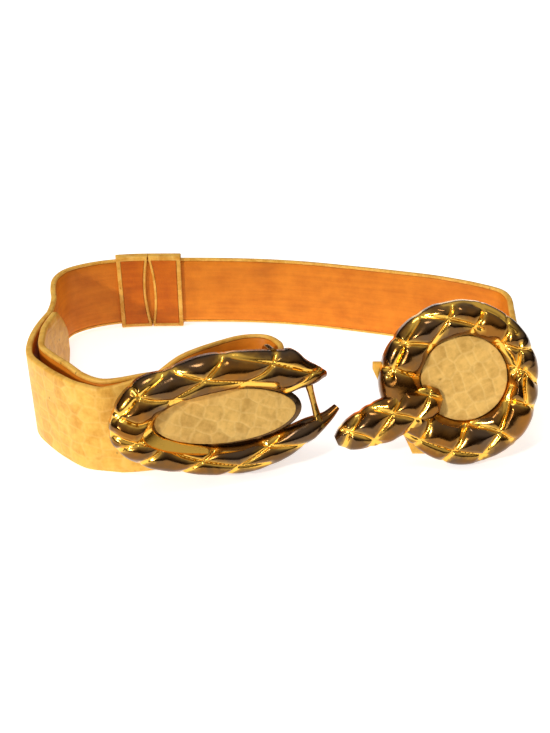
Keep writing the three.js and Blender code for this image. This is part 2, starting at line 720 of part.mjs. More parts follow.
// Materials
const finish = {
  skin: new THREE.MeshStandardMaterial({ color: 0xe8bd74, roughness: 0.55, metalness: 0 }),
  lining: new THREE.MeshStandardMaterial({ color: 0xc97a22, roughness: 0.6, metalness: 0 }),
  gold: new THREE.MeshStandardMaterial({ color: 0xd9a53a, roughness: 0.22, metalness: 1 }),
};

function namedMesh(name, solid, material) {
  const { vertProperties, triVerts, numProp } = solid.getMesh();
  const geometry = new THREE.BufferGeometry();
  const position = new Float32Array((vertProperties.length / numProp) * 3);
  for (let k = 0; k < position.length / 3; k += 1) {
    position.set(vertProperties.subarray(k * numProp, k * numProp + 3), k * 3);
  }
  geometry.setAttribute('position', new THREE.BufferAttribute(position, 3));
  geometry.setIndex(new THREE.BufferAttribute(new Uint32Array(triVerts), 1));
  geometry.computeVertexNormals();
  const mesh = new THREE.Mesh(geometry, material);
  mesh.name = name;
  return mesh;
}

const belt = new THREE.Group();
belt.add(
  namedMesh('strap_skin', strapSkin(), finish.skin),
  namedMesh('strap_lining', strapLining(), finish.lining),
  namedMesh('keeper_skin', keeperSkin(), finish.skin),
  namedMesh('keeper_lining_left', keeperLining(1), finish.lining),
  namedMesh('keeper_lining_right', keeperLining(-1), finish.lining),
  namedMesh('buckle_body', buckleBody(), finish.gold),
  namedMesh('buckle_inset', insetPlate(buckle, ovalOutline(0)), finish.skin),
  namedMesh('ring_body', ringBody(), finish.gold),
  namedMesh('ring_inset', insetPlate(ring, ringOutline(0)), finish.skin),
);

// The origin is under the middle of the belt, on the ground
const bounds = new THREE.Box3().setFromObject(belt);
belt.position.set(-(bounds.min.x + bounds.max.x) / 2, -(bounds.min.y + bounds.max.y) / 2, -bounds.min.z);

export default belt;
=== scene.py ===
# Looks of the snakeskin belt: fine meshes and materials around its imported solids. Metres, +Z up.
import json
import math

import bpy
import numpy as np
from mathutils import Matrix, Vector

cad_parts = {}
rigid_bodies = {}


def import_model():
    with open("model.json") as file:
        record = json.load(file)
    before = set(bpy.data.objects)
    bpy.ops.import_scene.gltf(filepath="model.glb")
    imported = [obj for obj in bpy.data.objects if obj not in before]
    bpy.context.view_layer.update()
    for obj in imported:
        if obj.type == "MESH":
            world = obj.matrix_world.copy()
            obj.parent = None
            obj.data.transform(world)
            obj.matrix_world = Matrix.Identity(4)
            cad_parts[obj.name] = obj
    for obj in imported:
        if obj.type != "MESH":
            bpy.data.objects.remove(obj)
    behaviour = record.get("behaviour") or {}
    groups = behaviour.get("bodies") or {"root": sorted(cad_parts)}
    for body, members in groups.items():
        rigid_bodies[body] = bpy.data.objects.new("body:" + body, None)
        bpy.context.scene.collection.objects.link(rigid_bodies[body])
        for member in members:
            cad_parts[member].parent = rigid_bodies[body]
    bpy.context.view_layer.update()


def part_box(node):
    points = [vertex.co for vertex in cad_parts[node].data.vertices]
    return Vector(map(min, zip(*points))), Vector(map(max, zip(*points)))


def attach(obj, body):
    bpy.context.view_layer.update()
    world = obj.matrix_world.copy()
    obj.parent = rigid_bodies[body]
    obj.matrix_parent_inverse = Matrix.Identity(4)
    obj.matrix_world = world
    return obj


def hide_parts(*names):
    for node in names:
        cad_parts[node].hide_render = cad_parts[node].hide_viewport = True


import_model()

MM = 0.001


def table(columns, *rows):
    """Rows of values as records, with each value under its column's name."""
    return [dict(zip(columns.split(), row)) for row in rows]


# Driving dimensions
CLEARANCE = 0.35 * MM
LOOP_WIDTH = 229 * MM
LOOP_DEPTH = 152 * MM
STRAP_HEIGHT = 38 * MM
SKIN_THICKNESS = 1.4 * MM
LINING_THICKNESS = 0.9 * MM
EDGE_BORDER = 1.3 * MM
END_POINT = 11 * MM
END_TIP = 3 * MM
END_SLANT = 17 * MM
FREE_END_LIFT = 1.2 * MM
EDGE_FULLNESS = 0.62
STRAP_THICKNESS = SKIN_THICKNESS + LINING_THICKNESS + CLEARANCE

KEEPER_LENGTH = 35 * MM
KEEPER_WALL = 1.5 * MM
KEEPER_ROOM = 0.4 * MM
KEEPER_BORDER = 2.2 * MM
KEEPER_PANEL = 0.65 * MM
KEEPER_SEAM = 0.8 * MM
KEEPER_GAPE = 4.6 * MM
KEEPER_PLACE = 0.424

BUCKLE_LENGTH = 92 * MM
BUCKLE_HEIGHT = 52 * MM
BUCKLE_DOME = 8 * MM
BUCKLE_SIDE = 2.6 * MM
BUCKLE_RIM = 3 * MM
BUCKLE_LAP = 2 * MM
BAR_DIAMETER = 3 * MM
BAR_CORNER = 1.8 * MM
BAR_SPARE = 0.4 * MM
FOLD_DEPTH = 26 * MM
FOLD_CENTRE = 0.49

RING_DIAMETER = 65 * MM
RING_INSET = 34 * MM
RING_DOME = 7.6 * MM
RING_SIDE = 2.2 * MM
RING_LAP = 1.5 * MM
RING_STRAP_CENTRE = 0.337
HEAD_LENGTH = 44 * MM
HEAD_WIDTH = 17 * MM
HEAD_DOME = 6.4 * MM
HEAD_SIDE = 2 * MM
HEAD_BASE = 4.6 * MM
HOOK_DROP = 5.2 * MM
HOOK_ROOT = 2 * MM
HOOK_BEND = 3.64 * MM
HOOK_START, HOOK_TURN, HOOK_TIP = 0.88, 0.85, 0.73

PLATE_THICKNESS = 2.4 * MM
PLATE_EDGE = 0.5 * MM
INSET_THICKNESS = 1.5 * MM
INSET_EDGE = 0.4 * MM
INSET_CROWN = 0.5 * MM
INSET_SEAT = 0.05 * MM
INSET_GAP = 0.15 * MM

BUCKLE_POSE = {"x": -0.121, "y": -0.54, "rise": 1.75 * MM, "turn": 16, "lean": 15, "roll": -1}
RING_POSE = {"x": 0.332, "y": -0.458, "rise": 0, "turn": 0, "lean": 15, "roll": 0}

# The strap's route: rows behind the buckles and round the waist, as shares of what they follow
FOLD_ROWS = table(
    "along behind",
    (0.02, 0.46),
    (0.16, 0.72),
    (0.27, 0.84),
    (0.345, 0.78),
    (0.382, 0.55),
    (0.388, 0.34),
    (0.375, 0.17),
    (0.34, 0.06),
    (0.27, 0.02),
)
FRONT_ROWS = table(
    "along behind centre",
    (0.16, 0.03, 0.485),
    (0, 0.07, 0.455),
    (-0.13, 0.15, 0.41),
)
LOOP_ROWS = table(
    "x y lean lift",
    (-0.272, -0.502, 0, 0),
    (-0.326, -0.483, 0, 0),
    (-0.366, -0.438, 0, 0),
    (-0.409, -0.372, 0, 0),
    (-0.441, -0.307, 0, 0),
    (-0.457, -0.216, 0, 0),
    (-0.462, -0.108, 0, 0),
    (-0.458, -0.007, 0, 0),
    (-0.469, 0.113, 1, 0),
    (-0.487, 0.214, 1, 0.1),
    (-0.495, 0.296, 1, 0.3),
    (-0.483, 0.37, 2, 0.6),
    (-0.438, 0.427, 3, 0.9),
    (-0.365, 0.468, 3, 1),
    (-0.221, 0.481, 3, 1),
    (-0.06, 0.488, 3, 0.6),
    (0.059, 0.471, 3, 0.3),
    (0.175, 0.428, 3, 0.1),
    (0.287, 0.374, 3, 0),
    (0.372, 0.322, 2, 0),
    (0.451, 0.249, 2, 0),
    (0.491, 0.188, 1, 0),
    (0.496, 0.129, 0, 0),
    (0.482, 0.019, -1, 0),
    (0.465, -0.097, -3, 0),
)
RING_ROWS = table(
    "along behind",
    (0.425, 0.34),
    (0.33, 0.11),
    (0.19, 0.02),
    (0, 0),
    (-0.3, 0),
    (-0.57, 0),
)
INNER_ROWS = table(
    "beside space lift",
    (10.4, 2.6 * MM, 1),
    (9.5, 1.5 * MM, 1),
    (8.5, 1.7 * MM, 1),
    (7.4, 2.8 * MM, 1),
    (6.4, 4.2 * MM, 1),
    (5.4, 4.4 * MM, 1),
    (4.5, 2.8 * MM, 1),
    (3.4, 1.8 * MM, 1),
    (2.4, 1.4 * MM, 0.6),
    (1.7, 3.4 * MM, 0.3),
)

# The long buckle's body: middle, width and height of its section, as shares of the buckle's
BUCKLE_ROWS = table(
    "a b width height",
    (0.56, 0.685, 0.05, 0.25),
    (0.52, 0.7, 0.13, 0.62),
    (0.46, 0.712, 0.22, 0.85),
    (0.36, 0.752, 0.318, 1),
    (0.217, 0.792, 0.284, 1),
    (0.06, 0.785, 0.303, 1),
    (-0.107, 0.722, 0.29, 1),
    (-0.218, 0.656, 0.31, 1),
    (-0.29, 0.454, 0.325, 1),
    (-0.238, 0.3, 0.27, 0.97),
    (-0.103, 0.195, 0.235, 0.92),
    (0.065, 0.128, 0.225, 0.88),
    (0.217, 0.125, 0.23, 0.85),
    (0.354, 0.19, 0.21, 0.8),
    (0.472, 0.275, 0.165, 0.65),
    (0.555, 0.345, 0.085, 0.42),
    (0.605, 0.415, 0.045, 0.3),
)

# The oval inset as drawn here, and as packed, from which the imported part's shift is read
OVAL = {"a": 0.106, "b": 0.4605, "half_length": 0.3027, "half_height": 0.202}
PACKED_OVAL = {"a": 0.128, "b": 0.441, "half_length": 0.325, "half_height": 0.221}

CATCH_TOP = {"a": 0.47, "b": 0.66}
CATCH_FOOT = {"a": 0.515, "b": 0.29}
STRAP_BAR = {"a": 0.327, "behind": 0.4}

# Grooves between the quilted cells, each through points (a, b) in shares of the buckle
BUCKLE_GROOVES = [
    [(0.538, 0.738), (0.486, 0.74), (0.308, 0.85), (0.109, 0.95), (0.07, 0.979)],
    [(-0.16, 0.898), (-0.121, 0.881), (0.016, 0.763), (0.19, 0.687), (0.285, 0.662)],
    [(-0.29, 0.794), (-0.257, 0.708), (-0.185, 0.646), (-0.102, 0.617)],
    [(-0.371, 0.625), (-0.33, 0.552), (-0.265, 0.494), (-0.199, 0.483)],
    [(-0.378, 0.44), (-0.336, 0.396), (-0.274, 0.362), (-0.175, 0.342)],
    [(-0.197, 0.398), (-0.175, 0.344), (-0.096, 0.233), (-0.015, 0.167), (0.139, 0.079), (0.25, 0.062)],
    [(0.108, 0.277), (0.215, 0.288), (0.271, 0.221), (0.423, 0.162)],
    [(0.37, 0.6), (0.436, 0.65), (0.486, 0.74), (0.52, 0.76)],
    [(0.34, 0.948), (0.308, 0.85), (0.26, 0.76), (0.19, 0.687)],
    [(0.149, 0.988), (0.109, 0.95), (0.061, 0.846), (0.016, 0.763), (-0.105, 0.631)],
    [(-0.075, 0.933), (-0.121, 0.881), (-0.19, 0.798), (-0.257, 0.708), (-0.328, 0.598), (-0.384, 0.533)],
    [(-0.192, 0.485), (-0.228, 0.419), (-0.274, 0.362), (-0.339, 0.321)],
    [(-0.165, 0.348), (-0.202, 0.263), (-0.27, 0.187)],
    [(0.058, 0.258), (-0.015, 0.167), (-0.092, 0.079)],
    [(0.371, 0.396), (0.346, 0.312), (0.271, 0.221), (0.18, 0.119), (0.139, 0.079), (0.11, 0.035)],
]

# The round buckle: its coil's width by angle, its head and the grooves of both
RING_CENTRE = {"a": -0.025, "b": 0.549}
RING_WIDTHS = table(
    "angle width",
    (0, 0.19),
    (45, 0.194),
    (90, 0.22),
    (135, 0.232),
    (180, 0.254),
    (225, 0.25),
    (270, 0.285),
    (315, 0.254),
)
HEAD_NECK = {"a": -0.18, "b": 0.45}
HEAD_SLOPE = math.radians(205)
HEAD_ROWS = table(
    "along width height",
    (-0.02, 0.3, 0.3),
    (0.06, 0.72, 0.8),
    (0.25, 0.98, 1),
    (0.5, 1, 1),
    (0.75, 0.9, 0.95),
    (0.92, 0.62, 0.75),
    (1, 0.25, 0.35),
)
RING_GROOVES = [
    [(-0.363, 0.932), (-0.265, 0.946), (-0.151, 0.926), (-0.063, 0.898), (0.015, 0.863)],
    [(-0.122, 1.028), (-0.132, 0.975), (-0.151, 0.926), (-0.183, 0.837), (-0.226, 0.745)],
    [(-0.317, 0.942), (-0.366, 0.863), (-0.411, 0.78), (-0.438, 0.695), (-0.48, 0.606)],
    [(-0.488, 0.797), (-0.411, 0.78), (-0.328, 0.771), (-0.226, 0.745)],
    [(-0.551, 0.62), (-0.463, 0.617), (-0.374, 0.589), (-0.303, 0.566)],
    [(0.065, 1.006), (0.051, 0.942), (0.015, 0.863)],
    [(-0.146, 1.02), (-0.045, 1.038), (0.062, 1.0), (0.177, 0.942), (0.249, 0.863)],
    [(0.22, 0.925), (0.212, 0.845), (0.165, 0.752)],
    [(0.165, 0.752), (0.231, 0.746), (0.288, 0.74), (0.352, 0.74)],
    [(0.165, 0.752), (0.225, 0.686), (0.26, 0.615)],
    [(0.288, 0.74), (0.278, 0.677), (0.26, 0.615)],
    [(0.26, 0.615), (0.326, 0.602), (0.395, 0.552)],
    [(0.32, 0.589), (0.318, 0.517), (0.335, 0.445)],
    [(0.138, 0.411), (0.222, 0.426), (0.294, 0.415), (0.374, 0.388)],
    [(0.237, 0.48), (0.222, 0.426), (0.206, 0.326), (0.188, 0.231), (0.108, 0.077)],
    [(-0.198, 0.349), (-0.109, 0.317), (-0.002, 0.292), (0.097, 0.271), (0.188, 0.231), (0.252, 0.189)],
    [(0.154, 0.391), (-0.002, 0.292), (-0.049, 0.162), (-0.125, 0.04)],
    [(-0.397, 0.203), (-0.28, 0.158), (-0.072, 0.098), (0.089, 0.072)],
    [(-0.215, 0.345), (-0.243, 0.252), (-0.298, 0.152), (-0.332, 0.114)],
]
HEAD_GROOVES = [
    [(-0.714, 0.394), (-0.64, 0.408), (-0.552, 0.392), (-0.472, 0.363), (-0.385, 0.338), (-0.295, 0.3)],
    [(-0.529, 0.511), (-0.415, 0.523), (-0.254, 0.48), (-0.195, 0.448)],
    [(-0.426, 0.52), (-0.44, 0.44), (-0.472, 0.363), (-0.522, 0.258), (-0.577, 0.149)],
    [(-0.631, 0.431), (-0.665, 0.358), (-0.72, 0.245), (-0.745, 0.14)],
    [(-0.242, 0.529), (-0.254, 0.48), (-0.275, 0.386), (-0.317, 0.309), (-0.363, 0.223)],
    [(-0.834, 0.286), (-0.786, 0.266), (-0.72, 0.245), (-0.635, 0.215), (-0.56, 0.172)],
]


# Curves and frames

CURVE_STEP = 1e-4
CURVE_SAMPLES = 4000
LEAST_SPAN = 1e-4


def catmull_rom(points, t, closed=False):
    """A centripetal curve through points, read at shares t from 0 to 1."""
    points = np.asarray(points, float)
    count = len(points)
    place = np.asarray(t, float) * (count if closed else count - 1)
    index = np.floor(place).astype(int)
    if closed:
        p0, p1, p2, p3 = (points[(index + k) % count] for k in (-1, 0, 1, 2))
    else:
        index = np.clip(index, 0, count - 2)
        padded = np.vstack([2 * points[0] - points[1], points, 2 * points[-1] - points[-2]])
        p0, p1, p2, p3 = (padded[index + k] for k in range(4))
    share = (place - index)[..., None]
    spans = ((p0, p1), (p1, p2), (p2, p3))
    d0, d1, d2 = (np.sqrt(np.linalg.norm(q - p, axis=-1, keepdims=True)) for p, q in spans)
    d1 = np.where(d1 < LEAST_SPAN, 1, d1)
    d0 = np.where(d0 < LEAST_SPAN, d1, d0)
    d2 = np.where(d2 < LEAST_SPAN, d1, d2)
    start = ((p1 - p0) / d0 - (p2 - p0) / (d0 + d1) + (p2 - p1) / d1) * d1
    end = ((p2 - p1) / d1 - (p3 - p1) / (d1 + d2) + (p3 - p2) / d2) * d1
    square = -3 * p1 + 3 * p2 - 2 * start - end
    cube = 2 * p1 - 2 * p2 + start + end
    return p1 + share * (start + share * (square + share * cube))


def unit(vectors):
    return vectors / np.linalg.norm(vectors, axis=-1, keepdims=True)


def smooth(value):
    """0 below 0 and 1 above 1, with a soft way between."""
    value = np.clip(value, 0, 1)
    return value * value * (3 - 2 * value)


class BuckleFrame:
    """A buckle's own frame: along its length, up its face, and out of its face."""

    def __init__(self, pose):
        turn, self.lean, roll = (math.radians(pose[key]) for key in ("turn", "lean", "roll"))
        level = np.array([math.cos(turn), math.sin(turn), 0])
        self.back = np.array([-math.sin(turn), math.cos(turn), 0])
        rise = math.cos(self.lean) * np.array([0, 0, 1]) + math.sin(self.lean) * self.back
        self.foot = np.array([pose["x"] * LOOP_WIDTH, pose["y"] * LOOP_DEPTH, pose["rise"]])
        self.along = math.cos(roll) * level + math.sin(roll) * rise
        self.up = math.cos(roll) * rise - math.sin(roll) * level
        self.out = np.cross(self.along, self.up)

    def place(self, a, b, n):
        a, b, n = (np.asarray(v, float)[..., None] for v in (a, b, n))
        return self.foot + a * self.along + b * self.up + n * self.out

    def behind(self, a, b, behind):
        """Middle of a strap behind the buckle: its seat on the back, and level from there."""
        seat = (STRAP_THICKNESS / 2 + CLEARANCE) / math.cos(self.lean)
        return self.place(a, b, 0) + (seat + behind) * self.back


buckle = BuckleFrame(BUCKLE_POSE)
ring = BuckleFrame(RING_POSE)


class Route:
    """A route through rows of (middle, up), read at lengths along it."""

    def __init__(self, rows):
        t = np.linspace(0, 1, 2 * CURVE_SAMPLES)
        self.middles = np.array([row[0] for row in rows])
        self.ups = np.array([row[1] for row in rows])
        self.middle, self.up, self.out = self.at_shares(t)
        steps = np.linalg.norm(np.diff(self.middle, axis=0), axis=1)
        self.length = np.concatenate([[0], np.cumsum(steps)])
        self.total = self.length[-1]

    def at_shares(self, t):
        """Middle, up and out at shares of the whole route."""
        middle = catmull_rom(self.middles, t)
        ahead = catmull_rom(self.middles, np.clip(t + CURVE_STEP, 0, 1))
        travel = unit(ahead - catmull_rom(self.middles, np.clip(t - CURVE_STEP, 0, 1)))
        up = catmull_rom(self.ups, t)
        up = unit(up - travel * np.sum(up * travel, axis=-1, keepdims=True))
        return middle, up, unit(np.cross(up, travel))

    def at(self, lengths):
        """Middle, up and out at lengths along the route."""
        def read(values):
            return np.stack([np.interp(lengths, self.length, values[:, k]) for k in range(3)], axis=-1)
        return read(self.middle), unit(read(self.up)), unit(read(self.out))


def loop_row(row):
    level = np.array([row["x"] * LOOP_WIDTH, row["y"] * LOOP_DEPTH, 0])
    angle = math.radians(row["lean"])
    up = math.cos(angle) * np.array([0, 0, 1]) - math.sin(angle) * unit(level)
    foot = row["lift"] * (KEEPER_ROOM + KEEPER_WALL) + STRAP_THICKNESS / 2 * abs(math.sin(angle))
    return level + np.array([0, 0, foot + STRAP_HEIGHT / 2 * math.cos(angle)]), up


def fold_row(row):
    a, b = row["along"] * BUCKLE_LENGTH, row.get("centre", FOLD_CENTRE) * BUCKLE_HEIGHT
    return buckle.behind(a, b, row["behind"] * FOLD_DEPTH), buckle.up


def ring_row(row):
    a, b = row["along"] * RING_DIAMETER, RING_STRAP_CENTRE * RING_DIAMETER
    return ring.behind(a, b, row["behind"] * RING_DIAMETER), ring.up


outer_rows = [fold_row(row) for row in FRONT_ROWS]
outer_rows += [loop_row(row) for row in LOOP_ROWS]
outer_rows += [ring_row(row) for row in RING_ROWS]
outer = Route(outer_rows)


def inner_row(row):
    share = np.array([row["beside"] / (len(outer_rows) - 1)])
    middle, up, out = (values[0] for values in outer.at_shares(share))
    return middle - out * (STRAP_THICKNESS + row["space"]) + up * row["lift"] * FREE_END_LIFT, up


strap = Route([inner_row(row) for row in INNER_ROWS] + [fold_row(row) for row in FOLD_ROWS] + outer_rows)


def on_buckle(spot):
    return spot["a"] * BUCKLE_LENGTH, spot["b"] * BUCKLE_HEIGHT


def oval_outline(angles, oval, grow_length=0.0, grow_height=0.0):
    a = oval["a"] * BUCKLE_LENGTH + (oval["half_length"] * BUCKLE_LENGTH + grow_length) * np.cos(angles)
    b = oval["b"] * BUCKLE_HEIGHT + (oval["half_height"] * BUCKLE_HEIGHT + grow_height) * np.sin(angles)
    return a, b


def packed_shift():
    """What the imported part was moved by, read from the oval inset's box."""
    sides = 48
    a, b = oval_outline(2 * np.pi * np.arange(sides) / sides, PACKED_OVAL)
    low = PLATE_THICKNESS + CLEARANCE
    corners = np.vstack([buckle.place(a, b, low), buckle.place(a, b, low + INSET_THICKNESS)])
    return np.array(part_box("buckle_inset")[0]) - corners.min(axis=0)


shift = packed_shift()


# Meshes

def grid_faces(rows, columns, rows_closed=False, columns_closed=False):
    i = np.arange(rows if rows_closed else rows - 1)
    j = np.arange(columns if columns_closed else columns - 1)
    i, j = (values.ravel() for values in np.meshgrid(i, j, indexing="ij"))
    i_next, j_next = (i + 1) % rows, (j + 1) % columns
    quads = [i * columns + j, i_next * columns + j, i_next * columns + j_next, i * columns + j_next]
    return np.stack(quads, axis=1).tolist()


def outward(points, faces):
    """The faces, turned round if they enclose a negative volume."""
    volume = 0.0
    for face in faces:
        corners = points[face]
        volume += np.sum(np.cross(corners[1:-1], corners[2:]) @ corners[0])
    return [face[::-1] for face in faces] if volume < 0 else faces


def linked(name, data):
    """A new object in the scene's collection."""
    made = bpy.data.objects.new(name, data)
    bpy.context.collection.objects.link(made)
    return made


def add_piece(name, points, faces, material, slot, uv=None, groove=None, sharp=60):
    """A mesh piece that rides on the root; points are in the part's own frame before its shift."""
    points = points.reshape(-1, 3) + shift
    mesh = bpy.data.meshes.new(name)
    mesh.from_pydata(points.tolist(), [], outward(points, faces))
    mesh.shade_smooth()
    mesh.set_sharp_from_angle(angle=math.radians(sharp))
    if uv is not None:
        corner = np.empty(len(mesh.loops), dtype=int)
        mesh.loops.foreach_get("vertex_index", corner)
        mesh.uv_layers.new(name="UVMap").data.foreach_set("uv", uv.reshape(-1, 2)[corner].ravel())
    if groove is not None:
        mesh.attributes.new("groove", "FLOAT", "POINT").data.foreach_set("value", groove.ravel())
    mesh.materials.append(material)
    piece = linked(name, mesh)
    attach(piece, "root")
    return piece


def swept_piece(name, points, material, slot, closed=False, **more):
    """A piece swept through sections, points[station, place in section]."""
    stations, places = points.shape[:2]
    faces = grid_faces(stations, places, rows_closed=closed, columns_closed=True)
    if not closed:
        faces.append(list(range(places))[::-1])
        faces.append([(stations - 1) * places + k for k in range(places)])
    return add_piece(name, points, faces, material, slot, **more)


def joined(pieces, name):
    """Several pieces as one mesh object."""
    for piece in bpy.context.view_layer.objects:
        piece.select_set(piece in pieces)
    bpy.context.view_layer.objects.active = pieces[0]
    bpy.ops.object.join()
    pieces[0].name = name
    return pieces[0]


# Materials

def new_material(name, **constants):
    material = bpy.data.materials.new(name)
    material.use_nodes = True
    shader = material.node_tree.nodes["Principled BSDF"]
    for key, value in constants.items():
        shader.inputs[key.replace("_", " ")].default_value = value
    return material, material.node_tree, shader


def node(tree, kind, settings=None, **inputs):
    """A shader node; an input is a number, a colour or another node's socket."""
    made = tree.nodes.new("ShaderNode" + kind)
    for key, value in (settings or {}).items():
        setattr(made, key, value)
    for key, value in inputs.items():
        position = int(key[1:]) if key[0] == "i" and key[1:].isdigit() else key.replace("_", " ")
        socket = made.inputs[position]
        if isinstance(value, bpy.types.NodeSocket):
            tree.links.new(value, socket)
        else:
            socket.default_value = value
    return made


def ramp(tree, value, stops):
    made = node(tree, "ValToRGB", Fac=value)
    elements = made.color_ramp.elements
    while len(elements) < len(stops):
        elements.new(0.5)
    for element, (position, colour) in zip(elements, stops):
        element.position = position
        element.color = (*colour, 1)
    return made.outputs["Color"]


def mixed(tree, share, first, second, blend="MIX"):
    made = node(tree, "Mix", {"data_type": "RGBA", "blend_type": blend})
    for socket, value in zip((made.inputs[0], made.inputs[6], made.inputs[7]), (share, first, second)):
        if isinstance(value, bpy.types.NodeSocket):
            tree.links.new(value, socket)
        else:
            socket.default_value = value if isinstance(value, float) else (*value, 1)
    return made.outputs[2]


def math_node(tree, operation, first, second=0.0):
    return node(tree, "Math", {"operation": operation}, i0=first, i1=second).outputs[0]


def weighted(tree, *parts):
    """The sum of values, each given with its weight."""
    total = None
    for value, weight in parts:
        part = value if weight == 1 else math_node(tree, "MULTIPLY", value, weight)
        total = part if total is None else math_node(tree, "ADD", total, part)
    return total


def noise(tree, place, scale, detail, roughness=0.5):
    made = node(tree, "TexNoise", Vector=place, Scale=scale, Detail=detail, Roughness=roughness)
    return made.outputs["Fac"]


def dress(tree, shader, colour, height, strength, depth):
    """Gives the shader its colour, and a bump of that strength and depth."""
    tree.links.new(colour, shader.inputs["Base Color"])
    bump = node(tree, "Bump", Height=height, Strength=strength, Distance=depth)
    tree.links.new(bump.outputs["Normal"], shader.inputs["Normal"])


def in_millimetres(tree, stretch=(1, 1, 1), wobble=0.0):
    """The piece's UV map in millimetres, stretched and wobbled by noise."""
    uv = node(tree, "UVMap", {"uv_map": "UVMap"}).outputs["UV"]
    place = node(tree, "Mapping", Vector=uv, Scale=tuple(1000 * v for v in stretch)).outputs["Vector"]
    if not wobble:
        return place
    noise = node(tree, "TexNoise", Vector=place, Scale=0.16, Detail=3.0).outputs["Color"]
    centred = node(tree, "VectorMath", {"operation": "SUBTRACT"}, i0=noise, i1=(0.5, 0.5, 0.5)).outputs[0]
    moved = node(tree, "VectorMath", {"operation": "SCALE"}, i0=centred, Scale=wobble).outputs[0]
    return node(tree, "VectorMath", {"operation": "ADD"}, i0=place, i1=moved).outputs[0]


DARK_SPECK = (0.2, 0.08, 0.015)
# Browns for the gold's raised cells: partly wear, partly painted reflection of dark surroundings and a warm
# brown surface below
ORANGE_BROWN = (0.27, 0.11, 0.02)
BROWN = (0.16, 0.08, 0.027)
GREY_BROWN = (0.13, 0.08, 0.045)
BRIGHT_GOLD = (0.98, 0.56, 0.09)


def snakeskin_material(name, pale, deep, outline, scale_size, specks):
    """Faint polygonal scales with paler outlines, mottling, dark specks and a satin glaze."""
    material, tree, shader = new_material(name, Roughness=0.42, Specular_IOR_Level=0.22)
    plain = in_millimetres(tree)
    place = in_millimetres(tree, stretch=(0.74, 1, 1), wobble=2.4)
    scales = {"Vector": place, "Scale": 1 / scale_size, "Randomness": 0.5}
    edges = node(tree, "TexVoronoi", {"feature": "DISTANCE_TO_EDGE"}, **scales).outputs["Distance"]
    cells = node(tree, "TexVoronoi", **scales)
    cell_tone = node(tree, "SeparateColor", Color=cells.outputs["Color"]).outputs[0]
    mottle = noise(tree, plain, 0.22, 6.0, 0.62)
    streaks = noise(tree, in_millimetres(tree, stretch=(1, 0.35, 1)), 0.8, 4.0)
    tone = weighted(tree, (mottle, 0.75), (cell_tone, 0.16), (streaks, 0.22))
    colour = ramp(tree, tone, [(0.42, deep), (0.68, pale)])
    line = ramp(tree, edges, [(0.02, (1, 1, 1)), (0.11, (0, 0, 0))])
    colour = mixed(tree, math_node(tree, "MULTIPLY", line, 0.3), colour, outline)
    dot_place = in_millimetres(tree, stretch=(1, 0.6, 1))
    dots = node(tree, "TexVoronoi", Vector=dot_place, Scale=0.21, Randomness=1.0)
    dot = ramp(tree, dots.outputs["Distance"], [(0.03, (1, 1, 1)), (0.12, (0, 0, 0))])
    dot_tone = node(tree, "SeparateColor", Color=dots.outputs["Color"]).outputs[1]
    keep = ramp(tree, dot_tone, [(0.55, (0, 0, 0)), (0.6, (1, 1, 1))])
    dot = math_node(tree, "MULTIPLY", math_node(tree, "MULTIPLY", dot, keep), specks)
    colour = mixed(tree, dot, colour, DARK_SPECK)
    relief = ramp(tree, edges, [(0.0, (0, 0, 0)), (0.16, (1, 1, 1))])
    height = weighted(tree, (relief, 0.6), (noise(tree, plain, 2.6, 5.0), 0.45))
    dress(tree, shader, colour, height, strength=0.55, depth=0.22 * MM)
    rough = ramp(tree, mottle, [(0.3, (0.36,) * 3), (0.75, (0.54,) * 3)])
    tree.links.new(rough, shader.inputs["Roughness"])
    return material


def lining_material(name, pale, deep, wear):
    """Smooth dyed leather: soft mottling, rubbed lines along the strap, pores and a few stains."""
    material, tree, shader = new_material(name, Roughness=0.5, Specular_IOR_Level=0.2)
    plain = in_millimetres(tree)
    fine = noise(tree, plain, 0.09, 7.0, 0.6)
    along = noise(tree, in_millimetres(tree, stretch=(0.06, 1, 1)), 0.5, 4.0)
    colour = ramp(tree, weighted(tree, (fine, 0.65), (along, 0.35)), [(0.36, deep), (0.62, pale)])
    stain = noise(tree, in_millimetres(tree, stretch=(0.4, 1, 1)), 0.06, 5.0)
    stained = ramp(tree, stain, [(0.56, (0, 0, 0)), (0.7, (1, 1, 1))])
    colour = mixed(tree, math_node(tree, "MULTIPLY", stained, 0.45), colour, wear)
    pores = node(tree, "TexVoronoi", Vector=plain, Scale=1.9).outputs["Distance"]
    crease = noise(tree, in_millimetres(tree, stretch=(0.3, 1, 1)), 0.7, 6.0)
    height = weighted(tree, (pores, 1), (crease, 1.5))
    dress(tree, shader, colour, height, strength=0.35, depth=0.15 * MM)
    return material


def gold_material():
    """Old gold plate: bright and yellow in the grooves; on the raised cells grey, dark and orange browns
    that are partly wear and partly painted reflection of dark surroundings and a warm brown surface below.
    """
    material, tree, shader = new_material("old_gold", Metallic=1.0, Roughness=0.16)
    groove = node(tree, "Attribute", {"attribute_name": "groove"}).outputs["Fac"]
    place = node(tree, "TexCoord").outputs["Object"]
    broad = noise(tree, place, 55.0, 4.0, 0.6)
    fine = noise(tree, place, 420.0, 5.0, 0.6)
    # painted reflection: these cell browns stand partly for reflected dark surroundings and a warm surface
    # below, partly for wear
    wear_and_painted_reflection = ramp(tree, broad, [(0.36, ORANGE_BROWN), (0.5, BROWN), (0.64, GREY_BROWN)])
    reach = weighted(tree, (groove, 1), (math_node(tree, "SUBTRACT", fine, 0.5), 0.3))
    share = ramp(tree, reach, [(0.12, (0, 0, 0)), (0.75, (1, 1, 1))])
    colour = mixed(tree, share, wear_and_painted_reflection, BRIGHT_GOLD)
    rough = ramp(tree, fine, [(0.3, (0.12,) * 3), (0.7, (0.24,) * 3)])
    tree.links.new(rough, shader.inputs["Roughness"])
    height = weighted(tree, (noise(tree, place, 140.0, 3.0), 1), (noise(tree, place, 900.0, 2.0), 0.12))
    dress(tree, shader, colour, height, strength=0.3, depth=0.3 * MM)
    return material


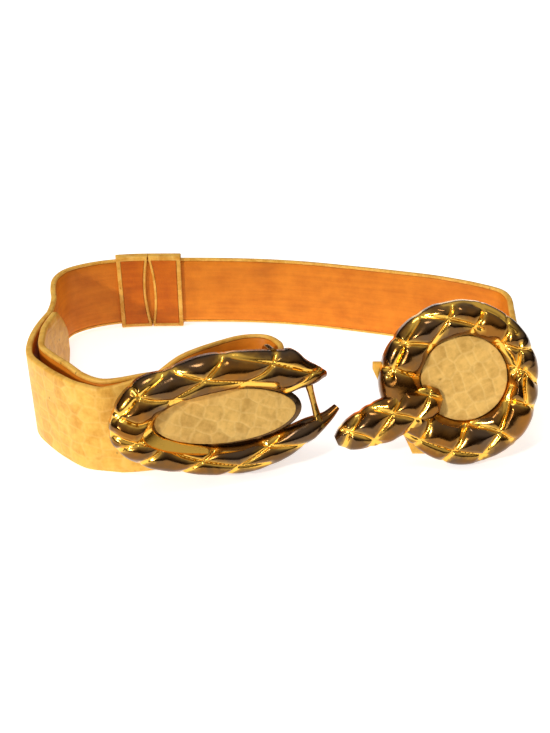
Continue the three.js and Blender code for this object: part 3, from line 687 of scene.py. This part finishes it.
skin = snakeskin_material(
    "snakeskin", pale=(0.86, 0.49, 0.085), deep=(0.66, 0.31, 0.035), outline=(0.9, 0.57, 0.15),
    scale_size=5.6, specks=0.9)
inset_skin = snakeskin_material(
    "inset_snakeskin", pale=(0.8, 0.49, 0.13), deep=(0.55, 0.31, 0.07), outline=(0.88, 0.6, 0.2),
    scale_size=5.0, specks=0.5)
lining = lining_material(
    "tan_lining", pale=(0.74, 0.235, 0.014), deep=(0.58, 0.16, 0.008), wear=(0.36, 0.1, 0.008))
keeper_lining = lining_material(
    "keeper_lining", pale=(0.64, 0.16, 0.005), deep=(0.48, 0.1, 0.003), wear=(0.18, 0.045, 0.003))
gold = gold_material()


# The strap

BACK = -STRAP_THICKNESS / 2
FACE = STRAP_THICKNESS / 2
FLOOR = FACE - SKIN_THICKNESS
WALL_STEP = 0.06 * MM
STRAP_STEP = 1.4 * MM
END_ROUND = 0.7 * MM
END_SHARE = 0.45
ROUND_SMALL = 0.14 * MM
ROUND_LOW = 0.22 * MM
ROUND_BACK = 0.5 * MM
ROUND_FACE = 0.75 * MM
LEAST_BORDER = 0.7 * EDGE_BORDER
LIP_ROUND = 0.25 * MM
LIP_BEND = 0.1 * MM
LINING_FIT = 0.18 * MM
LINING_ROUND = 0.3 * MM
LINING_CORNER = 0.35 * MM


def strap_edges(lengths, inset):
    half = STRAP_HEIGHT / 2 - inset
    point_share = np.clip((lengths - inset) / END_POINT, 0, 1)
    slant_share = np.clip((strap.total - lengths - inset) / END_SLANT, 0, 1)
    high = END_TIP + (half - END_TIP) * point_share ** EDGE_FULLNESS
    foot = half - END_TIP - (2 * half - END_TIP) * slant_share
    return np.maximum(-high, foot), high


def strap_lengths(inset):
    """Stations along the strap, closer at its two ends and at the pocket's walls."""
    finer = np.linspace(0, 1, 30) ** 2
    start = inset + END_POINT * finer
    end = strap.total - inset - END_SLANT * finer
    body = np.arange(inset + END_POINT, strap.total - inset - END_SLANT, STRAP_STEP)
    walls = np.array([EDGE_BORDER - WALL_STEP, EDGE_BORDER])
    walls = np.concatenate([walls, strap.total - walls])
    inside = walls[(walls > inset) & (walls < strap.total - inset)]
    return np.unique(np.concatenate([start, body, end, inside]))


def on_route(route, lengths, ups, outs):
    """Points [station, place in section] from up and out distances of the same shape."""
    middle, up, out = (values[:, None, :] for values in route.at(lengths))
    return middle + up * ups[..., None] + out * outs[..., None]


def section_uv(lengths, ups, outs, first):
    """Metres along and round the section, which on the face agree with the height up it."""
    steps = np.hypot(np.diff(ups, axis=1), np.diff(outs, axis=1))
    around = np.concatenate([np.zeros((len(lengths), 1)), np.cumsum(steps, axis=1)], axis=1)
    v = ups[:, first:first + 1] - (around - around[:, first:first + 1])
    return np.stack([np.broadcast_to(lengths[:, None], v.shape), v], axis=-1)


def end_rounding(lengths):
    """Share of the full thickness near the two ends."""
    share = np.clip(np.minimum(lengths, strap.total - lengths) / END_ROUND, 0, 1)
    return (END_SHARE + (1 - END_SHARE) * np.sqrt(1 - (1 - share) ** 2))[:, None]


def stacked(places, lengths):
    """Up and out distances, each [station, place in section]; a place may hold plain numbers."""
    columns = ([np.broadcast_to(place[k], lengths.shape) for place in places] for k in (0, 1))
    return [np.stack(column, axis=1) for column in columns]


def build_strap_skin():
    lengths = strap_lengths(0)
    low, high = strap_edges(lengths, 0)
    in_pocket = np.clip(lengths, EDGE_BORDER, strap.total - EDGE_BORDER)
    pocket_low, pocket_high = strap_edges(in_pocket, EDGE_BORDER)
    pocket_high = np.minimum(pocket_high, high - LEAST_BORDER)
    pocket_low = np.maximum(pocket_low, low + LEAST_BORDER)
    pocket_low = np.minimum(pocket_low, pocket_high - WALL_STEP)
    open_here = (lengths >= EDGE_BORDER - 1e-9) & (lengths <= strap.total - EDGE_BORDER + 1e-9)
    floor = np.where(open_here, FLOOR, BACK)
    lip = np.where(open_here, BACK + LIP_ROUND, BACK)
    upper = [
        (pocket_high, floor), (pocket_high, lip), (pocket_high + LIP_BEND, BACK), (high - ROUND_BACK, BACK),
        (high - ROUND_SMALL, BACK + ROUND_SMALL), (high, BACK + ROUND_BACK), (high, FACE - ROUND_FACE),
        (high - ROUND_LOW, FACE - ROUND_LOW), (high - ROUND_FACE, FACE),
    ]
    top, foot = high - ROUND_FACE, low + ROUND_FACE
    across = [(top + (foot - top) * share, FACE) for share in np.linspace(0, 1, 14)[1:-1]]
    lower = [
        (low + ROUND_FACE, FACE), (low + ROUND_LOW, FACE - ROUND_LOW), (low, FACE - ROUND_FACE),
        (low, BACK + ROUND_BACK), (low + ROUND_SMALL, BACK + ROUND_SMALL), (low + ROUND_BACK, BACK),
        (pocket_low - LIP_BEND, BACK), (pocket_low, lip), (pocket_low, floor),
    ]
    ups, outs = stacked(upper + across + lower, lengths)
    outs = outs * end_rounding(lengths)
    uv = section_uv(lengths, ups, outs, len(upper) - 1)
    piece = swept_piece("strap_snakeskin", on_route(strap, lengths, ups, outs), skin, "snakeskin", uv=uv)
    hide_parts("strap_skin")


def build_strap_lining():
    inset = EDGE_BORDER + LINING_FIT
    lengths = strap_lengths(inset)
    lengths = lengths[(lengths >= inset) & (lengths <= strap.total - inset)]
    low, high = strap_edges(lengths, inset)
    deep, edge, bend = BACK + LINING_THICKNESS, BACK + LINING_ROUND, BACK + LIP_BEND
    upper = [(high, deep), (high, edge), (high - LIP_BEND, bend)]
    top, foot = high - LINING_CORNER, low + LINING_CORNER
    across = [(top + (foot - top) * share, BACK) for share in np.linspace(0, 1, 12)]
    lower = [(low + LIP_BEND, bend), (low, edge), (low, deep)]
    ups, outs = stacked(upper + across + lower, lengths)
    uv = section_uv(lengths, ups, outs, len(upper))
    piece = swept_piece("strap_tan_lining", on_route(strap, lengths, ups, outs), lining, "lining", uv=uv)
    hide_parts("strap_lining")


# The sleeve at the back

keeper_middle = KEEPER_PLACE * outer.total
KEEPER_INSIDE = {"height": STRAP_HEIGHT / 2 + KEEPER_ROOM, "depth": STRAP_THICKNESS / 2 + KEEPER_ROOM}
KEEPER_OUTSIDE = {key: value + KEEPER_WALL for key, value in KEEPER_INSIDE.items()}
PANEL_HEIGHT = KEEPER_OUTSIDE["height"] - KEEPER_BORDER
PANEL_FIT = 0.12 * MM
OUTER_CORNER = 1.3 * MM
INNER_CORNER = 0.5 * MM
SEAM_CLOSED = 0.12 * MM
SEAM_RIM = 0.3 * MM
SEAM_TOUCH = 0.05 * MM
BEND_FACE, BEND_EDGE, BEND_INSIDE = 0.55 * MM, 0.16 * MM, 0.3 * MM

# How far each layer of a lining panel stands inside its rim and under its face
PANEL_LAYERS = ((0, KEEPER_PANEL), (0, 0.3 * MM), (0.1 * MM, 0.08 * MM), (0.35 * MM, 0))


def sleeve_loop(size, corner):
    """Points (up, out) round the sleeve: up its waist side, over the top and down its outer side."""
    edge = PANEL_HEIGHT / (KEEPER_OUTSIDE["height"] - OUTER_CORNER)
    step = WALL_STEP / KEEPER_OUTSIDE["height"]
    panel = np.linspace(-edge, edge, 27)
    waist = np.concatenate([[-1, -edge - step], panel, [edge + step, 1]])
    height, depth = size["height"] - corner, size["depth"] - corner
    turns = np.linspace(0, math.pi / 2, 7)[1:-1]
    over = [(height + corner * math.sin(t), -depth - corner * math.cos(t)) for t in turns]
    over += [(size["height"], share * depth) for share in np.linspace(-1, 1, 5)]
    over += [(height + corner * math.cos(t), depth + corner * math.sin(t)) for t in turns]
    under = [(-up, -out) for up, out in over]
    waist_side = [(share * height, -size["depth"]) for share in waist]
    outer_side = [(share * height, size["depth"]) for share in np.linspace(1, -1, 15)]
    return np.array(waist_side + over + outer_side + under)


def seam_half(up):
    share = np.clip(np.abs(up) / PANEL_HEIGHT, 0, 1)
    return (KEEPER_SEAM + (KEEPER_GAPE - KEEPER_SEAM) * (1 - share ** 2)) / 2


def build_sleeve_half(side):
    """The sleeve's skin on one side of the seam; the two halves meet without a gap outside."""
    outside = sleeve_loop(KEEPER_OUTSIDE, OUTER_CORNER)
    inside = sleeve_loop(KEEPER_INSIDE, INNER_CORNER)
    up, out = outside[:, 0], outside[:, 1]
    on_waist = smooth(-out / KEEPER_OUTSIDE["depth"] * 2 - 1)
    narrow = SEAM_CLOSED * smooth(1 - out / KEEPER_OUTSIDE["depth"])
    near = narrow + (seam_half(up) - narrow) * on_waist
    in_panel = (np.abs(up) < PANEL_HEIGHT + WALL_STEP / 2) & (out < -KEEPER_OUTSIDE["depth"] + 1e-6)
    sink = np.where(in_panel, (KEEPER_PANEL + CLEARANCE) / KEEPER_WALL, 0.0)
    rim = SEAM_RIM * smooth(narrow / SEAM_TOUCH)
    far = KEEPER_LENGTH / 2
    inner_far = far - KEEPER_BORDER
    inner_near = near + EDGE_BORDER
    stops = [(near, 0.2), (near, 0.78), (near + 0.3 * rim, 0.93), (near + rim, 1.0)]
    stops.append((inner_near - WALL_STEP, 1.0))
    for share in np.linspace(0, 1, 12):
        stops.append((inner_near + (inner_far - inner_near) * share, 1 - sink))
    stops += [(inner_far + WALL_STEP, 1.0), (far - BEND_FACE, 1.0), (far - BEND_EDGE, 0.93), (far, 0.72)]
    stops += [(far, 0.3), (far - BEND_INSIDE, 0.0), ((near + far) / 2, 0.0), (near, 0.0)]
    along = np.stack([np.broadcast_to(stop[0], up.shape) for stop in stops])
    wall = np.stack([np.broadcast_to(stop[1], up.shape) for stop in stops])
    section = inside + (outside - inside) * wall[..., None]
    lengths = keeper_middle + side * along
    middle, up_axis, out_axis = outer.at(lengths.ravel())
    points = middle + up_axis * section[..., 0].reshape(-1, 1) + out_axis * section[..., 1].reshape(-1, 1)
    rows, columns = along.shape
    faces = grid_faces(rows, columns, rows_closed=True, columns_closed=True)
    around = np.concatenate([[0], np.cumsum(np.hypot(*np.diff(outside, axis=0).T))])
    uv = np.stack([lengths, np.broadcast_to(around, along.shape)], axis=-1)
    return add_piece(f"sleeve_half_{side}", points, faces, skin, "snakeskin", uv=uv)


def build_sleeve_panel(side, name, node_name):
    """A lining panel of the sleeve, set in its pocket."""
    levels, columns = 40, 14
    top = PANEL_HEIGHT - PANEL_FIT
    up = np.linspace(-top, top, levels)
    near = seam_half(up) + EDGE_BORDER + PANEL_FIT
    far = KEEPER_LENGTH / 2 - KEEPER_BORDER - PANEL_FIT
    share = np.linspace(0, 1, columns)
    points, uv = [], []
    for inset, sunk in PANEL_LAYERS:
        lengths = (near + inset)[:, None] + (far - 2 * inset - near)[:, None] * share
        lengths = (keeper_middle + side * lengths).ravel()
        height = np.repeat(up * (top - inset) / top, columns)
        middle, up_axis, out_axis = outer.at(lengths)
        points.append(middle + up_axis * height[:, None] + out_axis * (sunk - KEEPER_OUTSIDE["depth"]))
        uv.append(np.stack([lengths, height], axis=-1))
    each = levels * columns
    index = np.arange(each).reshape(levels, columns)
    rim = np.concatenate([index[0], index[1:, -1], index[-1, -2::-1], index[-2:0:-1, 0]])
    grid = np.array(grid_faces(levels, columns))
    last = len(PANEL_LAYERS) - 1
    faces = [grid[:, ::-1], grid + each * last]
    for layer in range(last):
        low, high = rim + layer * each, rim + (layer + 1) * each
        faces.append(np.stack([low, np.roll(low, -1), np.roll(high, -1), high], axis=1))
    used, faces = np.unique(np.vstack(faces), return_inverse=True)
    points, uv = np.vstack(points)[used], np.vstack(uv)[used]
    piece = add_piece(name, points, faces.reshape(-1, 4).tolist(), keeper_lining, "lining", uv=uv)
    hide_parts(node_name)


def build_keeper():
    sleeve = joined([build_sleeve_half(-1), build_sleeve_half(1)], "keeper_snakeskin")
    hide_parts("keeper_skin")
    build_sleeve_panel(1, "keeper_panel_left", "keeper_lining_left")
    build_sleeve_panel(-1, "keeper_panel_right", "keeper_lining_right")


# Serpent bodies

CELL_REACH = 5.2 * MM
CELL_DEPTH = 1.7 * MM
CHANNEL_REACH = 0.9 * MM
CHANNEL_DEPTH = 0.5 * MM
GROOVE_RUN_ON = 2.2 * MM
BODY_STEP = 0.42 * MM
DOME_PLACES = 56
WALL_PLACES = 5
DOME_FULLNESS = 0.8
CELL_POWER = 2.2
DEEPEST_SHARE = 0.45
LEAST_WIDTH = 1 * MM
LEAST_HEIGHT = 0.1

# The quilting fades towards the foot of the dome
RIM_QUILTING = 0.3
RIM_START = math.radians(6)
RIM_FADE = math.radians(30)

# Where the gold is bright: in the channels, less so on the low parts of the cells, and on a bezel's inner
# wall, where the brightness is a painted highlight
CHANNEL_SHINE_REACH = 1 * MM
CELL_SHINE = 0.45
PAINTED_HIGHLIGHT_SHARPNESS = 30
BEZEL_RISE = 3.2 * MM
BEZEL_SPREAD = 0.45
OVAL_SLOPE = 0.9
DISC_SLOPE = 0.35


def groove_distance(a, b, chains, size):
    """Distance in the face's plane from each point to the nearest groove."""
    nearest = np.full(a.shape, 1.0)
    for chain in chains:
        points = np.array(chain) * size
        before = points[0] + unit(points[0] - points[1]) * GROOVE_RUN_ON
        after = points[-1] + unit(points[-1] - points[-2]) * GROOVE_RUN_ON
        points = np.vstack([before, points, after])
        fine = catmull_rom(points, np.linspace(0, 1, 6 * len(points)))
        for start, end in zip(fine[:-1], fine[1:]):
            step = end - start
            da, db = a - start[0], b - start[1]
            share = np.clip((da * step[0] + db * step[1]) / (step @ step), 0, 1)
            nearest = np.minimum(nearest, np.hypot(da - share * step[0], db - share * step[1]))
    return nearest


def equal_steps(points, closed):
    """Shares of a curve through points that are equal steps along it."""
    t = np.linspace(0, 1, CURVE_SAMPLES)
    curve = catmull_rom(points, t, closed)
    length = np.concatenate([[0], np.cumsum(np.linalg.norm(np.diff(curve, axis=0), axis=1))])
    count = int(length[-1] / BODY_STEP)
    places = np.linspace(0, length[-1], count, endpoint=not closed)
    return np.interp(places, length, t)


def serpent_piece(name, holder, rows, grooves, closed, dome, side, base, keep_out=None):
    """A quilted body of domed section along a flat route in a buckle's frame."""
    route_points = [(row["a"], row["b"]) for row in rows]
    t = equal_steps(route_points, closed)
    middle = catmull_rom(route_points, t, closed)
    around = (t + CURVE_STEP, t - CURVE_STEP)
    around = [place % 1 if closed else np.clip(place, 0, 1) for place in around]
    ahead, behind = (catmull_rom(route_points, place, closed) for place in around)
    travel = unit(ahead - behind)
    across = np.stack([-travel[:, 1], travel[:, 0]], axis=1)

    def in_face(offset):
        return middle[:, :1] + across[:, :1] * offset, middle[:, 1:] + across[:, 1:] * offset

    sizes = catmull_rom([(row["width"], row["height"]) for row in rows], t, closed)
    half = np.maximum(sizes[:, :1], LEAST_WIDTH) / 2
    rise = np.maximum(sizes[:, 1:], LEAST_HEIGHT)
    angle = np.linspace(0, math.pi, DOME_PLACES)[None, :]
    wall = np.linspace(0, 1, WALL_PLACES, endpoint=False)[None, :]
    offset = np.concatenate([-half + 0 * wall, -np.cos(angle) * half, half + 0 * wall], axis=1)
    over = rise * (side + dome * np.sin(angle) ** DOME_FULLNESS)
    down = rise * side * (1 - wall - 1 / WALL_PLACES)
    height = np.concatenate([rise * side * wall, over, down], axis=1)
    distance = groove_distance(*in_face(offset), **grooves)
    dome_angle = np.concatenate([0 * wall, angle, math.pi + 0 * wall], axis=1) + 0 * offset
    from_rim = np.minimum(dome_angle, math.pi - dome_angle)
    rim_share = RIM_QUILTING + (1 - RIM_QUILTING) * smooth((from_rim - RIM_START) / RIM_FADE)
    cell = (1 - np.clip(distance / CELL_REACH, 0, 1)) ** CELL_POWER
    channel = np.clip(1 - distance / CHANNEL_REACH, 0, 1)
    depth = (CELL_DEPTH * cell + CHANNEL_DEPTH * channel) * rise * rim_share
    depth = np.minimum(depth, DEEPEST_SHARE * half)
    offset = offset + np.cos(dome_angle) * depth
    height = np.maximum(height - np.sin(dome_angle) * depth, 0)
    a, b = in_face(offset)
    if keep_out is not None:
        a, b, painted_bezel_highlight = keep_out(a, b, height)
    points = holder.place(a, b, base + height)
    shine = np.maximum(np.exp(-(distance / CHANNEL_SHINE_REACH) ** 4), CELL_SHINE * cell)
    # painted highlight: the bezel's inner wall is made bright gold as if lit
    if keep_out is not None:
        shine = np.maximum(shine, painted_bezel_highlight)
    return swept_piece(name, points, gold, "gold", closed=closed, groove=shine, sharp=80)


def outside_ellipse(centre_a, centre_b, half_a, half_b, slope):
    """Moves points inside an ellipse out to its edge, or to a wall that slants out on its low side."""
    half_a, half_b = half_a + INSET_GAP, half_b + INSET_GAP

    def move(a, b, height):
        x, y = (a - centre_a) / half_a, (b - centre_b) / half_b
        reach = np.maximum(np.hypot(x, y), 1e-6)
        risen = np.clip(height - PLATE_THICKNESS - INSET_THICKNESS, 0, BEZEL_RISE)
        limit = 1 + slope * risen * smooth(BEZEL_SPREAD - y / reach) / half_b
        push = np.where(reach < limit, limit / reach, 1)
        # painted highlight: points pushed onto the bezel's inner wall get bright gold as if lit
        painted_bezel_highlight = smooth((limit / reach - 1) * PAINTED_HIGHLIGHT_SHARPNESS)
        return centre_a + half_a * x * push, centre_b + half_b * y * push, painted_bezel_highlight
    return move


def plate_piece(
        name, holder, outline, low, high, round_edge, material, slot, crown=0, uv_turn=0, groove=0.6):
    """A flat or crowned plate over an outline (a, b), with rounded edges."""
    a, b = outline
    centre = np.array([a.mean(), b.mean()])
    rings = []
    turns = np.linspace(0, math.pi / 2, 5)
    for t in turns:
        rings.append((-round_edge * (1 - math.sin(t)), low + round_edge * (1 - math.cos(t)), 1.0))
    for t in turns:
        rings.append((-round_edge * (1 - math.cos(t)), high - round_edge * (1 - math.sin(t)), 1.0))
    for share in np.linspace(1, 0.04, 14)[1:]:
        rings.append((-round_edge, high + crown * (1 - share ** 2), share))
    outward_a, outward_b = a - centre[0], b - centre[1]
    reach = np.hypot(outward_a, outward_b)
    points, flat = [], []
    for grow, n, share in rings:
        scale = share * (1 + grow / reach)
        ring_a = centre[0] + outward_a * scale
        ring_b = centre[1] + outward_b * scale
        points.append(holder.place(ring_a, ring_b, n))
        flat.append(np.stack([ring_a, ring_b], axis=-1))
    points = np.stack(points)
    turn = np.array([[math.cos(uv_turn), -math.sin(uv_turn)], [math.sin(uv_turn), math.cos(uv_turn)]])
    shine = np.full(points.shape[:2], groove)
    return swept_piece(name, points, material, slot, uv=np.stack(flat) @ turn.T, groove=shine)


def inset_piece(name, holder, outline, uv_turn):
    """A crowned piece of snakeskin that rests on a buckle's back plate."""
    low = PLATE_THICKNESS + INSET_SEAT
    high = PLATE_THICKNESS + CLEARANCE + INSET_THICKNESS
    return plate_piece(
        name, holder, outline, low, high, INSET_EDGE, inset_skin, "snakeskin",
        crown=INSET_CROWN, uv_turn=uv_turn)


def rod_piece(name, holder, route, radii=(BAR_DIAMETER / 2,) * 2, groove=0.35, sides=24, steps=70):
    """A round gold rod through route points (a, b, n), with radii at equal shares of the way."""
    centres = holder.place(*np.array(route).T)
    t = np.linspace(0, 1, steps)
    middle = catmull_rom(centres, t)
    radius = np.interp(t, np.linspace(0, 1, len(radii)), radii)
    travel = unit(np.gradient(middle, axis=0))
    first = unit(np.cross(travel[0], holder.out + 0.01 * holder.along))
    normals = [first]
    for direction in travel[1:]:
        normals.append(unit(normals[-1] - direction * (normals[-1] @ direction)))
    normals = np.array(normals)
    others = np.cross(travel, normals)
    angles = np.linspace(0, 2 * math.pi, sides, endpoint=False)
    cosines, sines = np.cos(angles)[None, :, None], np.sin(angles)[None, :, None]
    around = cosines * normals[:, None] + sines * others[:, None]
    points = middle[:, None] + around * radius[:, None, None]
    return swept_piece(name, points, gold, "gold", groove=np.full(points.shape[:2], groove))


CIRCLE = np.linspace(0, 2 * math.pi, 120, endpoint=False)
CATCH_BAR_RADII = [1.9 * MM, 1.35 * MM, 1.25 * MM, 1.5 * MM, 3 * MM]
OVAL_GRAIN_TURN = 0.35
DISC_GRAIN_TURN = 1.1


def build_buckle():
    rows = [{
        "a": row["a"] * BUCKLE_LENGTH, "b": row["b"] * BUCKLE_HEIGHT,
        "width": row["width"] * BUCKLE_HEIGHT, "height": row["height"],
    } for row in BUCKLE_ROWS]
    half_a, half_b = OVAL["half_length"] * BUCKLE_LENGTH, OVAL["half_height"] * BUCKLE_HEIGHT
    oval_room = outside_ellipse(*on_buckle(OVAL), half_a, half_b, OVAL_SLOPE)
    body = serpent_piece(
        "buckle_serpent", buckle, rows,
        {"chains": BUCKLE_GROOVES, "size": (BUCKLE_LENGTH, BUCKLE_HEIGHT)},
        closed=False, dome=BUCKLE_DOME, side=BUCKLE_SIDE, base=0, keep_out=oval_room)
    outline = oval_outline(CIRCLE, OVAL, BUCKLE_RIM, BUCKLE_LAP)
    plate_piece("buckle_plate", buckle, outline, 0, PLATE_THICKNESS, PLATE_EDGE, gold, "gold", groove=0.1)
    inset = inset_piece("buckle_snakeskin", buckle, oval_outline(CIRCLE, OVAL), OVAL_GRAIN_TURN)
    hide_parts("buckle_inset")
    top, foot = on_buckle(CATCH_TOP), on_buckle(CATCH_FOOT)
    middle = ((top[0] + foot[0]) / 2, (top[1] + foot[1]) / 2)
    rod_piece("buckle_catch_bar", buckle, [
        (*top, BAR_DIAMETER), (*middle, BAR_DIAMETER), (*foot, BAR_DIAMETER),
    ], CATCH_BAR_RADII, groove=0.4)
    a = STRAP_BAR["a"] * BUCKLE_LENGTH
    n = -STRAP_BAR["behind"] * FOLD_DEPTH
    centre = FOLD_CENTRE * BUCKLE_HEIGHT
    reach = STRAP_HEIGHT / 2 + CLEARANCE + BAR_DIAMETER / 2 + BAR_SPARE
    low, high = centre - reach, centre + reach
    rod_piece("buckle_strap_bar", buckle, [
        (a, low, BUCKLE_SIDE), (a, low, n + BAR_CORNER), (a, low + BAR_CORNER, n), (a, centre, n),
        (a, high - BAR_CORNER, n), (a, high, n + BAR_CORNER), (a, high, BUCKLE_SIDE),
    ])
    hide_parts("buckle_body")


def on_head(along):
    return (
        HEAD_NECK["a"] * RING_DIAMETER + along * HEAD_LENGTH * math.cos(HEAD_SLOPE),
        HEAD_NECK["b"] * RING_DIAMETER + along * HEAD_LENGTH * math.sin(HEAD_SLOPE),
    )


def build_ring():
    rows = []
    centre_a, centre_b = RING_CENTRE["a"] * RING_DIAMETER, RING_CENTRE["b"] * RING_DIAMETER
    for row in reversed(RING_WIDTHS):
        radius = RING_INSET / 2 + row["width"] * RING_DIAMETER / 2
        turn = math.radians(row["angle"])
        rows.append({
            "a": centre_a + radius * math.cos(turn), "b": centre_b + radius * math.sin(turn),
            "width": row["width"] * RING_DIAMETER, "height": 1,
        })
    room = outside_ellipse(centre_a, centre_b, RING_INSET / 2, RING_INSET / 2, DISC_SLOPE)
    size = (RING_DIAMETER, RING_DIAMETER)
    coil = serpent_piece(
        "ring_coil", ring, rows, {"chains": RING_GROOVES, "size": size},
        closed=True, dome=RING_DOME, side=RING_SIDE, base=0, keep_out=room)

    def disc(grow):
        reach = RING_INSET / 2 + grow
        return centre_a + reach * np.cos(CIRCLE), centre_b + reach * np.sin(CIRCLE)

    plate_piece("ring_plate", ring, disc(RING_LAP), 0, PLATE_THICKNESS, PLATE_EDGE, gold, "gold")
    inset = inset_piece("ring_snakeskin", ring, disc(0), DISC_GRAIN_TURN)
    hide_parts("ring_inset")
    head_rows = []
    for row in HEAD_ROWS:
        a, b = on_head(row["along"])
        head_rows.append({"a": a, "b": b, "width": row["width"] * HEAD_WIDTH, "height": row["height"]})
    serpent_piece(
        "ring_head", ring, head_rows, {"chains": HEAD_GROOVES, "size": size},
        closed=False, dome=HEAD_DOME, side=HEAD_SIDE, base=HEAD_BASE)
    start, turn, tip = on_head(HOOK_START), on_head(HOOK_TURN), on_head(HOOK_TIP)
    rod_piece("ring_hook", ring, [
        (*start, HEAD_BASE + HOOK_ROOT), (*start, HEAD_BASE - HOOK_BEND),
        (*turn, HEAD_BASE - HOOK_DROP), (*tip, HEAD_BASE - HOOK_DROP),
    ])
    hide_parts("ring_body")


# Stage, lights and camera

FOCAL_LENGTH = 39.29
CAMERA_DISTANCE = 345 * MM
CAMERA_HEIGHT = 177.7 * MM
CAMERA_PITCH = math.radians(26)
SENSOR_WIDTH = 36
FLOOR_REACH = 4
FLOOR_COLOUR = (0.9, 0.9, 0.9, 1)
FLOOR_GLOW = 0.62
SKY = [(0.0, (0.05, 0.03, 0.02)), (0.25, (0.12, 0.085, 0.06)), (0.75, (1.0, 0.98, 0.95))]
BACKDROP = (1.9, 1.88, 1.85)
SKY_STRENGTH = 0.5
LIGHT_TARGET = (0, 0, 0.02)
LIGHTS = table(
    "name kind place energy colour size",
    ("key", "SUN", (-0.6, -0.62, 0.42), 1.7, (1, 0.96, 0.9), math.radians(4)),
    ("softbox", "AREA", (-0.15, -0.1, 0.9), 1.8, (1, 0.98, 0.95), (0.3, 0.2)),
    ("front_strip", "AREA", (-0.45, -0.75, 0.35), 0.5, (1, 0.97, 0.92), (0.06, 0.3)),
)


def build_stage():
    half, far = FLOOR_REACH, 3 * FLOOR_REACH
    mesh = bpy.data.meshes.new("floor")
    corners = [(-half, -half, 0), (half, -half, 0), (half, far, 0), (-half, far, 0)]
    mesh.from_pydata(corners, [], [(0, 1, 2, 3)])
    material = new_material(
        "pale_floor", Base_Color=FLOOR_COLOUR, Roughness=0.8, Specular_IOR_Level=0.1,
        Emission_Color=(1, 1, 1, 1), Emission_Strength=FLOOR_GLOW)[0]
    mesh.materials.append(material)
    floor = linked("floor", mesh)


def add_light(row):
    data = bpy.data.lights.new(row["name"], row["kind"])
    data.energy = row["energy"]
    data.color = row["colour"]
    if row["kind"] == "AREA":
        data.shape = "RECTANGLE"
        data.size, data.size_y = row["size"]
    else:
        data.angle = row["size"]
    light = linked(row["name"], data)
    light.location = row["place"]
    facing = Vector(LIGHT_TARGET) - light.location
    light.rotation_euler = facing.to_track_quat("-Z", "Y").to_euler()


def build_lights():
    world = bpy.data.worlds.new("studio")
    bpy.context.scene.world = world
    world.use_nodes = True
    tree = world.node_tree
    direction = node(tree, "TexCoord").outputs["Generated"]
    sky = ramp(tree, node(tree, "SeparateXYZ", Vector=direction).outputs["Z"], SKY)
    seen = node(tree, "LightPath").outputs["Is Camera Ray"]
    backdrop = mixed(tree, seen, sky, BACKDROP)
    background = tree.nodes["Background"]
    tree.links.new(backdrop, background.inputs["Color"])
    background.inputs["Strength"].default_value = SKY_STRENGTH
    for row in LIGHTS:
        add_light(row)


def build_camera():
    data = bpy.data.cameras.new("camera")
    data.lens = FOCAL_LENGTH
    data.sensor_width = SENSOR_WIDTH
    camera = linked("camera", data)
    camera.location = (np.array([0, -CAMERA_DISTANCE, CAMERA_HEIGHT]) + shift).tolist()
    camera.rotation_euler = (math.pi / 2 - CAMERA_PITCH, 0, 0)
    data.clip_start = 0.01
    bpy.context.scene.camera = camera


bpy.context.scene.view_settings.view_transform = "Standard"
build_camera()
build_strap_skin()
build_strap_lining()
build_keeper()
build_buckle()
build_ring()
build_stage()
build_lights()
